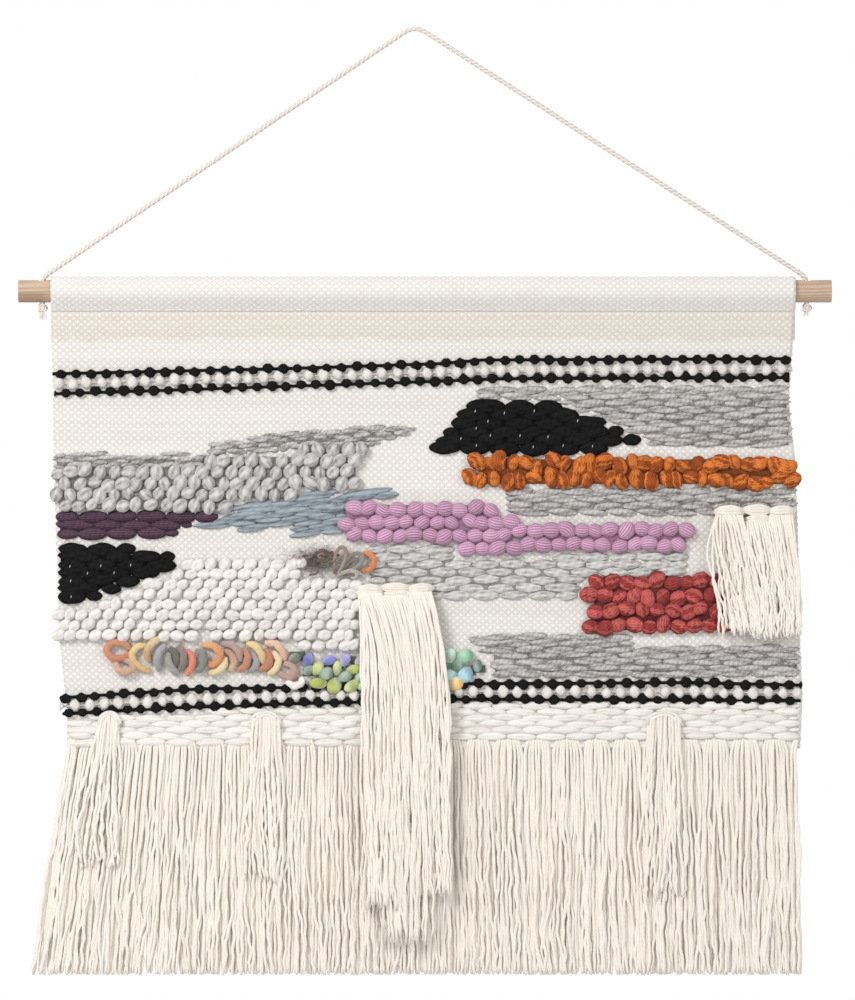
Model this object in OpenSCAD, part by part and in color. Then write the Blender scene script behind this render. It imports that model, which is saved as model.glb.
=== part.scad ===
// A hand-woven wall hanging. A wooden dowel runs through a sleeve at the top of a
// cotton cloth, and a cotton cord tied through the dowel's ends hangs on one nail.
// Yarn pictures are worked on the cloth's front, two tassels hang over it, and the
// warp ends fall as a fringe. Millimetres, +Z up, front face towards -Y.
// The origin is the top of the nail, on the inside of the cord's peak.

/* [Dowel] */
// Diameter of the dowel
dowel_d = 18; // [17:0.5:18.5]
// Length of the dowel
dowel_len = 650; // [644:1:660]
// Height of the dowel's axis below the nail
dowel_drop = 208; // [208]
// Sideways offset of the dowel's middle from the nail
dowel_shift = 8; // [8]

/* [Hanging cord] */
// Diameter of the hanging cord
cord_d = 4; // [3:0.5:4]
// Diameter of the holes drilled down through the dowel for the cord
cord_hole_d = 4.6; // [4.6:0.1:5.5]

/* [Cloth] */
// Thickness of the woven ground cloth
cloth_t = 2.4; // [1.6:0.2:2.6]
// Slack between the dowel and the inside of the cloth sleeve
sleeve_slack = 0.5; // [0.4:0.1:0.8]
// Distance from the dowel's axis down to the sleeve's sewn line
sleeve_depth = 16; // [15:0.5:18]
// Height of the cloth's bottom edge below the nail
cloth_drop = 574; // [574]

/* [Yarn work] */
// Thickness of flat wrapped yarn rows
float_t = 3.8; // [2:0.2:4]
// Thickness of looped pile
loop_t = 7.8; // [5:0.2:8.4]
// Half height of one row in the two striped borders
stripe_half = 2.8; // [2:0.1:2.8]

/* [Fringe and tassels] */
// Height of the fringe's cut ends below the nail
fringe_drop = 755; // [700:1:780]
// Number of bundles that the warp fringe hangs in
fringe_bundles = 58; // [40:1:64]
// Thickness of the fringe
fringe_t = 4; // [3:0.5:4]
// Thickness of the tassels' tufts
tuft_t = 6; // [4:0.5:6]

/* [Hidden] */
$fn = 48;
dowel_r = dowel_d / 2;
cord_r = cord_d / 2;
cloth_front = -cloth_t / 2;
sleeve_in = dowel_r + sleeve_slack;
sleeve_out = sleeve_in + cloth_t;
sleeve_left = -291;
sleeve_right = 304;
sleeve_point = sleeve_depth + 1.5;
sleeve_half_angle = asin(sleeve_out / sleeve_point);
sleeve_foot = sleeve_point - cloth_t / 2 / tan(sleeve_half_angle);
inner_point = sleeve_in / sin(sleeve_half_angle);
countersink_r = 4.5;
countersink_h = 4.5;
knot_r = 4.2;
knot_drop = dowel_drop + dowel_r + knot_r + 0.2;
cord_holes = [-298, 313.5];
float_front = cloth_front - float_t;
tassel_y = -13;
wrap_depth = 5.6;
hinge_gap = 1.5;
neck_t = 1.6;
neck_h = 6;
right_hinge_z = -392.5;
centre_hinge_z = -454.5;
fringe_top_left = -277;
fringe_top_right = 305;
fringe_flare_left = 30;
fringe_flare_right = 3;
bundle_gap = 1.2;
cord_sides = 8;

// Left edge and width of each small tassel on the bottom band.
band_heads = [[-252, 14], [-128, 18], [186, 26]];

// Route of the hanging cord: up out of the left knot, through the dowel, over the
// nail and down through the dowel again into the right knot.
cord_route = [
    [-298, 0, -221], [-298, 0, -212], [-298, 0, -202], [-297.5, 0, -199], [-296, 0, -196.5],
    [-294, 0, -194.5], [-250, 0, -164.5], [-200, 0, -130.5], [-150, 0, -96.5],
    [-100, 0, -62.5], [-50, 0, -29], [-20, 0, -8.5], [-8, 0, -0.5], [-4, 0, 1.5],
    [0, 0, 2.1], [4, 0, 1.5], [8, 0, -0.5], [20, 0, -8], [50, 0, -27.5], [100, 0, -59.5],
    [150, 0, -92], [200, 0, -124], [250, 0, -156], [290, 0, -182], [309.5, 0, -194.5],
    [311.5, 0, -196.5], [313, 0, -199], [313.5, 0, -202], [313.5, 0, -212], [313.5, 0, -221]
];

// Side edges of the cloth, from the sleeve to the bottom.
cloth_left = [[-290, -259], [-288, -375], [-284, -487], [-278, -547]];
cloth_right = [[310, -535], [308, -487], [306, -391], [304, -343], [299, -295]];

// Middle lines of the rows in the two borders.
upper_black_top_row = [[-287, -274], [-108, -270], [18, -266], [54, -263], [299, -262]];
upper_white_row = [[-285, -282], [-96, -276], [20, -273], [84, -272], [299, -270]];
upper_black_bottom_row = [[-285, -290], [-100, -284], [20, -280], [68, -278], [298, -277]];
lower_black_top_row = [[-281, -533], [-172, -526], [-100, -525], [36, -522], [220, -521], [307, -523]];
lower_white_row = [[-280, -540], [-172, -534], [-95, -532], [44, -528], [292, -529], [307, -529]];
lower_black_bottom_row = [[-279, -546], [-188, -541], [-100, -538], [32, -534.5], [220, -535], [307, -535.5]];

// ---- Wood and cord ----

module dowel() {
    color("burlywood") difference() {
        translate([dowel_shift - dowel_len / 2, 0, -dowel_drop])
            rotate([0, 90, 0])
                cylinder(h = dowel_len, r = dowel_r);
        for (x = cord_holes)
            translate([x, 0, -dowel_drop]) {
                cylinder(h = dowel_d + 4, r = cord_hole_d / 2, center = true);
                translate([0, 0, dowel_r - countersink_h])
                    cylinder(h = countersink_h + 0.5, r1 = cord_hole_d / 2, r2 = countersink_r);
            }
    }
}

// Points between two route points, one every two to three cord diameters.
function steps_between(a, b) = max(1, ceil(norm(b - a) / (3 * cord_d)));
function filled_route(route) = [
    for (i = [0 : len(route) - 2])
        for (k = [0 : steps_between(route[i], route[i + 1]) - 1])
            route[i] + (route[i + 1] - route[i]) * k / steps_between(route[i], route[i + 1]),
    route[len(route) - 1]
];
function run_at(path, i) = path[min(i + 1, len(path) - 1)] - path[max(i - 1, 0)];

// The route lies in the XZ plane, so each ring stands on the run's normal and on Y.
function ring_at(path, i, r) =
    let (run = run_at(path, i) / norm(run_at(path, i)))
        [for (k = [0 : cord_sides - 1])
            path[i] + r * cos(360 * k / cord_sides) * [-run.z, 0, run.x]
                + r * sin(360 * k / cord_sides) * [0, 1, 0]];

module swept_cord(route, r) {
    path = filled_route(route);
    count = len(path);
    rings = [for (i = [0 : count - 1]) each ring_at(path, i, r)];
    walls = [for (i = [0 : count - 2]) for (k = [0 : cord_sides - 1])
        let (next = (k + 1) % cord_sides)
            [i * cord_sides + k, i * cord_sides + next,
                (i + 1) * cord_sides + next, (i + 1) * cord_sides + k]];
    first_cap = [for (k = [0 : cord_sides - 1]) cord_sides - 1 - k];
    last_cap = [for (k = [0 : cord_sides - 1]) (count - 1) * cord_sides + k];
    polyhedron(points = rings, faces = concat([first_cap, last_cap], walls));
}

module hanging_cord() {
    color("white") swept_cord(cord_route, cord_r);
}

// A stopper knot under the dowel, with its cut tail.
module cord_knot(x, tail) {
    color("white") translate([x, 0, -knot_drop]) {
        sphere(r = knot_r);
        translate([0, 0, -knot_r - tail])
            cylinder(h = tail + 2, r = cord_r - 0.2);
    }
}

module cord_knot_left() {
    cord_knot(cord_holes[0], 4);
}

module cord_knot_right() {
    cord_knot(cord_holes[1], 2);
}

// ---- Cloth ----

module ground_cloth() {
    foot = -dowel_drop - sleeve_foot;
    outline = concat([[sleeve_left, foot]], cloth_left, [[-278, -cloth_drop], [308, -cloth_drop]],
        cloth_right, [[sleeve_right, foot]]);
    color("linen") translate([0, cloth_t / 2, 0])
        rotate([90, 0, 0])
            linear_extrude(cloth_t)
                polygon(outline);
}

// A circle drawn down to a point below it.
module teardrop_outline(r, drop) {
    touch = asin(r / drop);
    circle(r);
    polygon([[-r * cos(touch), -r * sin(touch)], [0, -drop], [r * cos(touch), -r * sin(touch)]]);
}

// The cloth's top, folded to the back round the dowel and sewn to itself.
module rod_sleeve() {
    color("ivory") translate([sleeve_left, 0, -dowel_drop])
        rotate([90, 0, 90])
            linear_extrude(sleeve_right - sleeve_left)
                difference() {
                    intersection() {
                        teardrop_outline(sleeve_out, sleeve_point);
                        translate([-sleeve_out, -sleeve_foot])
                            square([2 * sleeve_out, sleeve_foot + sleeve_out]);
                    }
                    teardrop_outline(sleeve_in, inner_point);
                }
}

// Short stitches of thread straight through both layers of the sleeve.
module sleeve_stitches() {
    stitch = 4;
    pitch = 8;
    color("floralwhite")
        for (x = [sleeve_left + 6 : pitch : sleeve_right - 8])
            translate([x, -3, -dowel_drop - sleeve_depth + 1.2])
                cube([stitch, 6, 0.9]);
}

// ---- Striped borders ----

module stripe_row(row) {
    outline = concat(
        [for (p = row) [p.x, p.y + stripe_half]],
        [for (i = [len(row) - 1 : -1 : 0]) [row[i].x, row[i].y - stripe_half]]
    );
    yarn_field(outline, float_t);
}

// A closed area of yarn worked on the cloth's front face.
module yarn_field(outline, depth) {
    translate([0, cloth_front, 0])
        rotate([90, 0, 0])
            linear_extrude(depth)
                polygon(outline);
}

module upper_stripe_black_top() {
    color("#1c1c1e") stripe_row(upper_black_top_row);
}

module upper_stripe_white() {
    color("whitesmoke") stripe_row(upper_white_row);
}

module upper_stripe_black_bottom() {
    color("#1c1c1e") stripe_row(upper_black_bottom_row);
}

module lower_stripe_black_top() {
    color("#1c1c1e") stripe_row(lower_black_top_row);
}

module lower_stripe_white() {
    color("whitesmoke") stripe_row(lower_white_row);
}

module lower_stripe_black_bottom() {
    color("#1c1c1e") stripe_row(lower_black_bottom_row);
}

// ---- Yarn pictures, left side ----

module thin_grey_soumak() {
    color("darkgray") yarn_field([[-289, -338], [-166, -338], [-166, -329], [-108, -322],
        [0, -317], [2, -319], [-36, -333], [-108, -334], [-166, -338.5], [-168, -351],
        [-289, -351]], float_t);
}

module grey_loops() {
    color("silver") yarn_field([[-289, -352.5], [-167, -352.5], [-165, -340], [-108, -336],
        [-42, -335], [-40, -368], [-90, -377], [-150, -384], [-288, -383]], loop_t);
}

module plum_floats() {
    color("#5a4052") yarn_field([[-287, -385], [-158, -386], [-158, -388], [-172, -391],
        [-181, -396], [-190, -402], [-197, -408], [-286, -410]], float_t);
}

module blue_soumak() {
    color("#93a6b0") yarn_field([[-178, -398], [-176, -394], [-14, -366], [-14, -373],
        [-54, -376.5], [-54, -403], [-100, -403], [-100, -398]], float_t);
}

module black_roving() {
    color("#222224") yarn_field([[-286, -412], [-246, -412], [-192, -417], [-192, -428],
        [-254, -454], [-285, -457]], float_t);
}

module white_loops() {
    color("white") yarn_field([[-285, -461], [-252, -459], [-190, -431], [-186, -423],
        [-90, -423], [-90, -441], [-47, -441], [-47, -497], [-92, -493], [-96, -484],
        [-250, -484], [-284, -487]], loop_t);
}

module sunset_loops() {
    color("orange") yarn_field([[-248, -486], [-98, -486], [-98, -494], [-90, -495],
        [-90, -520], [-172, -521], [-248, -524]], loop_t);
}

module brown_curls() {
    color("#6b4a3a") yarn_field([[-88, -410], [-40, -410], [-40, -439], [-88, -439]], loop_t);
}

module moss_nubs_left() {
    color("olivedrab") yarn_field([[-88, -500], [-38, -500], [-38, -519], [-88, -519]], loop_t);
}

// ---- Yarn pictures, right side ----

module moss_nubs_right() {
    color("mediumaquamarine") yarn_field([[20, -494], [44, -494], [58, -500], [58, -517],
        [20, -517]], loop_t);
}

module pink_loops() {
    color("plum") yarn_field([[-52, -377.5], [70, -377.5], [70, -393], [220, -393],
        [220, -419], [32, -419], [32, -408], [-52, -408]], loop_t);
}

module rust_loops() {
    color("#c06a32") yarn_field([[34, -346], [48, -339], [302, -339], [304, -364],
        [36, -357]], loop_t);
}

module black_mountain() {
    color("#222224") yarn_field([[10, -335], [24, -319], [38, -302], [50, -297], [64, -296],
        [112, -298], [132, -308], [148, -312], [168, -321], [181, -327], [160, -332],
        [140, -337], [12, -337]], float_t);
}

module grey_soumak_top() {
    color("darkgray") yarn_field([[49, -285], [298, -284], [301, -334], [186, -334],
        [184, -325], [168, -319], [148, -310], [133, -306], [113, -296], [64, -294],
        [50, -295]], float_t);
}

module grey_soumak_middle() {
    color("darkgray") yarn_field([[72, -366], [304, -366], [305, -391], [74, -391]], float_t);
}

module grey_soumak_light() {
    color("lightgray") yarn_field([[-38, -411], [30, -411], [31, -421], [219, -421],
        [216, -433], [140, -433], [130, -447], [130, -455], [-38, -455]], float_t);
}

module grey_soumak_low() {
    color("gray") yarn_field([[42, -482], [172, -482], [176, -491], [307, -491], [307, -517],
        [62, -517], [60, -498], [46, -492]], float_t);
}

module red_loops() {
    color("#b04444") yarn_field([[142, -436], [246, -436], [250, -468], [306, -470],
        [307, -489], [178, -489], [175, -480.5], [142, -480.5]], loop_t);
}

// ---- Tassels over the cloth ----

// Yarn wrapped sideways round the top of a tuft, standing on the rows behind it.
module wraps(centres, w, h) {
    color("seashell")
        for (c = centres)
            translate([c.x - w / 2, float_front - wrap_depth, c.y - h / 2])
                cube([w, wrap_depth, h]);
}

module right_tassel_wraps() {
    wraps([[250, -386.5], [272, -387.5], [292, -386]], 19, 11);
}

module centre_tassel_wraps() {
    wraps([[-36, -448.5], [-15, -448.5], [4, -447.5]], 18, 11);
}

// A tuft hangs from a thin neck at its hinge line and widens to its full thickness.
module tuft(top_x, top_w, bottom_x, bottom_w, top_z, bottom_z) {
    top = top_z - hinge_gap;
    color("seashell") {
        translate([top_x, tassel_y - neck_t / 2, top - neck_h])
            cube([top_w, neck_t, neck_h]);
        translate([0, tassel_y + tuft_t / 2, 0])
            rotate([90, 0, 0])
                linear_extrude(tuft_t)
                    polygon([[top_x, top - neck_h], [top_x + top_w, top - neck_h],
                        [bottom_x + bottom_w, bottom_z], [bottom_x, bottom_z]]);
    }
}

module right_tuft_left() {
    tuft(240, 20, 239, 27, right_hinge_z, -481);
}

module right_tuft_middle() {
    tuft(261, 21, 268, 22, right_hinge_z, -484);
}

module right_tuft_right() {
    tuft(283, 18, 292, 16, right_hinge_z, -482);
}

module centre_tuft_left() {
    tuft(-45, 19, -48, 25, centre_hinge_z, -700);
}

module centre_tuft_middle() {
    tuft(-25, 19, -21, 24, centre_hinge_z, -728);
}

module centre_tuft_right() {
    tuft(-5, 18, 5, 20, centre_hinge_z, -690);
}

// ---- Bottom band and fringe ----

module braid_band() {
    color("seashell") yarn_field([[-279, -550], [-256, -549], [-188, -545], [-100, -542],
        [32, -538], [220, -538], [307, -539], [307, -568], [68, -568], [-92, -571],
        [-277, -573]], float_t);
}

// Small tassels folded over the band's top edge, one block for each head.
module band_tassel_heads() {
    head_t = 3;
    color("seashell")
        for (head = band_heads)
            translate([head[0], float_front - head_t, -570])
                cube([head[1], head_t, 24]);
}

module band_tassel(head, drop) {
    strand_t = 4;
    top = cloth_drop + 8;
    color("seashell")
        translate([0, -fringe_t / 2, 0])
            rotate([90, 0, 0])
                linear_extrude(strand_t)
                    polygon([[head[0] - 2, -top], [head[0] + head[1] + 2, -top],
                        [head[0] + head[1] + 6, -drop], [head[0] - 8, -drop]]);
}

module band_tassel_left() {
    band_tassel(band_heads[0], 665);
}

module band_tassel_middle() {
    band_tassel(band_heads[1], 680);
}

module band_tassel_right() {
    band_tassel(band_heads[2], 690);
}

// Bundles of warp ends. The outer ones spread a little to each side as they fall.
function fringe_spread(t) = t < 0.35 ? -fringe_flare_left * pow((0.35 - t) / 0.35, 2)
    : fringe_flare_right * t;

module warp_fringe() {
    top = -cloth_drop - hinge_gap;
    pitch = (fringe_top_right - fringe_top_left) / fringe_bundles;
    color("seashell")
        for (i = [0 : fringe_bundles - 1]) {
            x = fringe_top_left + i * pitch + bundle_gap / 2;
            w = pitch - bundle_gap;
            shift = fringe_spread(i / (fringe_bundles - 1));
            translate([x, -neck_t / 2, top - neck_h])
                cube([w, neck_t, neck_h]);
            translate([0, fringe_t / 2, 0])
                rotate([90, 0, 0])
                    linear_extrude(fringe_t)
                        polygon([[x, top - neck_h], [x + w, top - neck_h],
                            [x + w + shift, -fringe_drop], [x + shift, -fringe_drop]]);
        }
}

dowel();
hanging_cord();
cord_knot_left();
cord_knot_right();
ground_cloth();
rod_sleeve();
sleeve_stitches();
upper_stripe_black_top();
upper_stripe_white();
upper_stripe_black_bottom();
lower_stripe_black_top();
lower_stripe_white();
lower_stripe_black_bottom();
thin_grey_soumak();
grey_loops();
plum_floats();
blue_soumak();
black_roving();
white_loops();
sunset_loops();
brown_curls();
moss_nubs_left();
moss_nubs_right();
pink_loops();
rust_loops();
black_mountain();
grey_soumak_top();
grey_soumak_middle();
grey_soumak_light();
grey_soumak_low();
red_loops();
right_tassel_wraps();
centre_tassel_wraps();
braid_band();
band_tassel_heads();
warp_fringe();
band_tassel_left();
band_tassel_middle();
band_tassel_right();
centre_tuft_left();
centre_tuft_middle();
centre_tuft_right();
right_tuft_left();
right_tuft_middle();
right_tuft_right();
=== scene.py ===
import math

import bpy
import numpy as np
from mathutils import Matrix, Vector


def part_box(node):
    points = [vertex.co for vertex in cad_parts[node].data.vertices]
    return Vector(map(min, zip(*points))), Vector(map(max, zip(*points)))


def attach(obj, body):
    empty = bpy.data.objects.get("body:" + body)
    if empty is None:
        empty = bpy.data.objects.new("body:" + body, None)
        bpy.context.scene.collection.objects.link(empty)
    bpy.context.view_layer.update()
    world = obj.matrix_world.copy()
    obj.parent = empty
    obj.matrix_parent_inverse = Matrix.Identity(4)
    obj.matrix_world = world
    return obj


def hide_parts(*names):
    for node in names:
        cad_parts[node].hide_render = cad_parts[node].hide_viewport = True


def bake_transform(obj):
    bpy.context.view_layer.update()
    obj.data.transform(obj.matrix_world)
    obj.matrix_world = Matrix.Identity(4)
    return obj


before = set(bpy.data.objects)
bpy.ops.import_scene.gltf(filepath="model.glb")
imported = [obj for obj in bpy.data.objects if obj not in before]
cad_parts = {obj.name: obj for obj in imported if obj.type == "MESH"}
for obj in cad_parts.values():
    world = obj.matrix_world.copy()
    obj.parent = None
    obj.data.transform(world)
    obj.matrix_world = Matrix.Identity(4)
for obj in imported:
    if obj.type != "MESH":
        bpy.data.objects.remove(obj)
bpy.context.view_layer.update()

# ---- View ----
# The hanging is seen straight from the front, far off, on a bright white ground. Wide
# soft lights on both sides and a weak one behind show the relief of the yarn.

scene = bpy.context.scene
scene.view_settings.view_transform = "Standard"
lens = bpy.data.cameras.new("camera")
lens.lens = 225
lens.sensor_width = 36
lens.clip_end = 60
camera = bpy.data.objects.new("camera", lens)
camera.location = (0.010, -5.0, -0.375)
camera.rotation_euler = (math.pi / 2, 0, 0)
scene.collection.objects.link(camera)
scene.camera = camera


def soft_light(name, place, aim, width, watts):
    """A square area light at place that faces aim."""
    lamp = bpy.data.lights.new(name, "AREA")
    lamp.size = width
    lamp.energy = watts
    holder = bpy.data.objects.new(name, lamp)
    direction = np.subtract(aim, place)
    flat = math.hypot(direction[0], direction[1])
    holder.rotation_euler = (
        math.pi / 2 - math.atan2(-direction[2], flat),
        0,
        math.atan2(direction[1], direction[0]) - math.pi / 2,
    )
    holder.location = place
    scene.collection.objects.link(holder)


soft_light("key", (-1.5, -1.9, 1.0), (0, 0, -0.4), 0.9, 42)
soft_light("fill", (1.9, -2.2, 0.1), (0, 0, -0.4), 1.6, 12)
soft_light("back", (0.6, 2.2, 0.6), (0, 0, -0.4), 1.6, 16)

sky = bpy.data.worlds.new("sky")
sky.use_nodes = True
scene.world = sky
ground = sky.node_tree.nodes["Background"]
seen = sky.node_tree.nodes.new("ShaderNodeLightPath")
level = sky.node_tree.nodes.new("ShaderNodeMapRange")
level.inputs["To Min"].default_value = 0.62
level.inputs["To Max"].default_value = 1.0
sky.node_tree.links.new(seen.outputs["Is Camera Ray"], level.inputs["Value"])
sky.node_tree.links.new(level.outputs["Result"], ground.inputs["Strength"])
ground.inputs["Color"].default_value = (1, 1, 1, 1)

floor_mesh = bpy.data.meshes.new("floor")
floor_mesh.from_pydata(
    [(-1.5, -1.2, -1.02), (1.5, -1.2, -1.02), (1.5, 1.2, -1.02), (-1.5, 1.2, -1.02)],
    [],
    [(0, 1, 2, 3)],
)
floor = bpy.data.objects.new("floor", floor_mesh)
scene.collection.objects.link(floor)

# ---- Hanging cord ----
# One length of cotton cord, three strands laid together, comes up through a hole in each
# end of the dowel, runs over the nail and is knotted underneath with a frayed tail.

CORD_ROUTE = np.array([
    (-0.298, 0, -0.221), (-0.298, 0, -0.212), (-0.298, 0, -0.202), (-0.2975, 0, -0.199),
    (-0.296, 0, -0.1965), (-0.294, 0, -0.1945), (-0.250, 0, -0.1645), (-0.200, 0, -0.1305),
    (-0.150, 0, -0.0965), (-0.100, 0, -0.0625), (-0.050, 0, -0.029), (-0.020, 0, -0.0085),
    (-0.008, 0, -0.0005), (-0.004, 0, 0.0015), (0, 0, 0.0021), (0.004, 0, 0.0015),
    (0.008, 0, -0.0005), (0.020, 0, -0.008), (0.050, 0, -0.0275), (0.100, 0, -0.0595),
    (0.150, 0, -0.092), (0.200, 0, -0.124), (0.250, 0, -0.156), (0.290, 0, -0.182),
    (0.3095, 0, -0.1945), (0.3115, 0, -0.1965), (0.313, 0, -0.199), (0.3135, 0, -0.202),
    (0.3135, 0, -0.212), (0.3135, 0, -0.221),
])
CORD_D = 0.004
FRONT = (0, -1, 0)


class Wire:
    """A value inside a finish. Python's signs on it add the Math nodes that work them out."""

    def __init__(self, finish, socket):
        self.finish = finish
        self.socket = socket

    def worked(self, operation, first, second):
        sockets = {0: first, 1: second}
        return self.finish.node("ShaderNodeMath", {"operation": operation}, sockets)[0]

    def __add__(self, other):
        return self.worked("ADD", self, other)

    def __sub__(self, other):
        return self.worked("SUBTRACT", self, other)

    def __rsub__(self, other):
        return self.worked("SUBTRACT", other, self)

    def __mul__(self, other):
        return self.worked("MULTIPLY", self, other)

    def __pow__(self, other):
        return self.worked("POWER", self, other)

    def wave(self):
        """Its sine, moved from -1..1 to 0..1."""
        return self.worked("SINE", self, 0.0) * 0.5 + 0.5

    def within(self, low, high):
        """0 below low, 1 above high, and smooth between them; falling if low is above high."""
        settings = {"interpolation_type": "SMOOTHSTEP"}
        sockets = {"Value": self, "From Min": low, "From Max": high}
        return self.finish.node("ShaderNodeMapRange", settings, sockets)[0]

    __radd__ = __add__
    __rmul__ = __mul__


class Finish:
    """A material built from nodes, with one method that adds any of them."""

    def __init__(self, name, rough=0.9, sheen=0.25, shine=0.25):
        self.material = bpy.data.materials.new(name)
        self.material.use_nodes = True
        self.tree = self.material.node_tree
        self.shader = self.tree.nodes["Principled BSDF"]
        self.shader.inputs["Roughness"].default_value = rough
        self.shader.inputs["Specular IOR Level"].default_value = shine
        self.shader.inputs["Sheen Weight"].default_value = sheen
        self.shader.inputs["Sheen Roughness"].default_value = 0.6

    def node(self, kind, settings, sockets):
        """Adds a node: first its settings, then its sockets. Gives its outputs as wires."""
        made = self.tree.nodes.new(kind)
        for name, value in settings.items():
            setattr(made, name, value)
        for name, value in sockets.items():
            if isinstance(value, Wire):
                self.tree.links.new(value.socket, made.inputs[name])
            elif isinstance(value, tuple) and made.inputs[name].type == "RGBA":
                made.inputs[name].default_value = (*value, 1)
            else:
                made.inputs[name].default_value = value
        return [Wire(self, socket) for socket in made.outputs]

    def place(self):
        """The point's own place on the piece, in metres."""
        return self.node("ShaderNodeTexCoord", {}, {})[3]

    def kept(self, name, colour=False):
        """A value, or a colour, that the piece keeps at its vertices."""
        outputs = self.node("ShaderNodeAttribute", {"attribute_name": name}, {})
        return outputs[0 if colour else 2]

    def patches(self, scale, detail=2.0, stretch=(1, 1, 1)):
        """Soft random patches from 0 to 1, scale of them to the metre."""
        at = self.node("ShaderNodeMapping", {}, {"Vector": self.place(), "Scale": stretch})[0]
        sockets = {"Vector": at, "Scale": scale, "Detail": detail, "Roughness": 0.6}
        return self.node("ShaderNodeTexNoise", {}, sockets)[0]

    def mixed(self, share, first, second, blend="MIX"):
        """first where share is 0, second where it is 1."""
        settings = {"data_type": "RGBA", "blend_type": blend, "clamp_factor": True}
        return self.node("ShaderNodeMix", settings, {0: share, 6: first, 7: second})[2]

    def paint(self, colour, relief, depth):
        """Joins the colour to the shader, and the relief, depth metres high, to its normal."""
        sockets = {"Height": relief, "Distance": depth, "Strength": 1.0}
        bump = self.node("ShaderNodeBump", {}, sockets)[0]
        self.tree.links.new(colour.socket, self.shader.inputs["Base Color"])
        self.tree.links.new(bump.socket, self.shader.inputs["Normal"])
        return self.material


def dye(red, green, blue):
    """A dye lot's colour as light: each part of 255 put through the display's own curve."""
    share = np.array([red, green, blue]) / 255
    lit = np.where(share <= 0.04045, share / 12.92, ((share + 0.055) / 1.055) ** 2.4)
    return tuple(float(part) for part in lit)


def yarn_finish(name, light, dark, second=None, lay=0.006, depth=0.0003, gap=0.55,
                mottle=0.35, sheen=0.12, fibre=0.16, shine=0.25):
    """Spun yarn. Its colour runs from dark in the gaps between plies and where yarns meet,
    which is painted shade, to light on their crowns; gap sets how deep that painted shade
    goes. Fine slanting fibres along it are painted darker in their grooves, soft patches lie
    over it, and a second dye is on some of its strands."""
    finish = Finish(name, sheen=sheen, shine=shine)
    crown = finish.kept("crown")
    slant = (finish.kept("along") * (2 * math.pi / lay) + finish.kept("lateral") * 2.2).wave()
    cloudy = finish.patches(260, 3.0)
    fibres = finish.patches(1500, 2.0)
    # Painted shade: the kept crown darkens the ply gaps, and the slant darkens the fibre grooves.
    light_share = (crown ** 0.7) * gap + (1 - gap)
    light_share = light_share * (1 - (1 - slant) * fibre)
    light_share = light_share - (cloudy - 0.5) * mottle - (fibres - 0.5) * mottle
    light_share = light_share + (finish.kept("tone") - 0.5) * 0.16
    colour = finish.mixed(light_share, dark, light)
    if second:
        share = finish.kept("strand").within(0.45, 0.6) * 0.75
        colour = finish.mixed(share, colour, finish.mixed(light_share, dark, second))
    relief = slant * (3 * fibre) + fibres * 0.8 + cloudy * 0.6
    return finish.paint(colour, relief, depth)


def unit(vectors):
    """Each vector divided by its own length."""
    return vectors / np.maximum(np.linalg.norm(vectors, axis=-1, keepdims=True), 1e-12)


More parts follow.
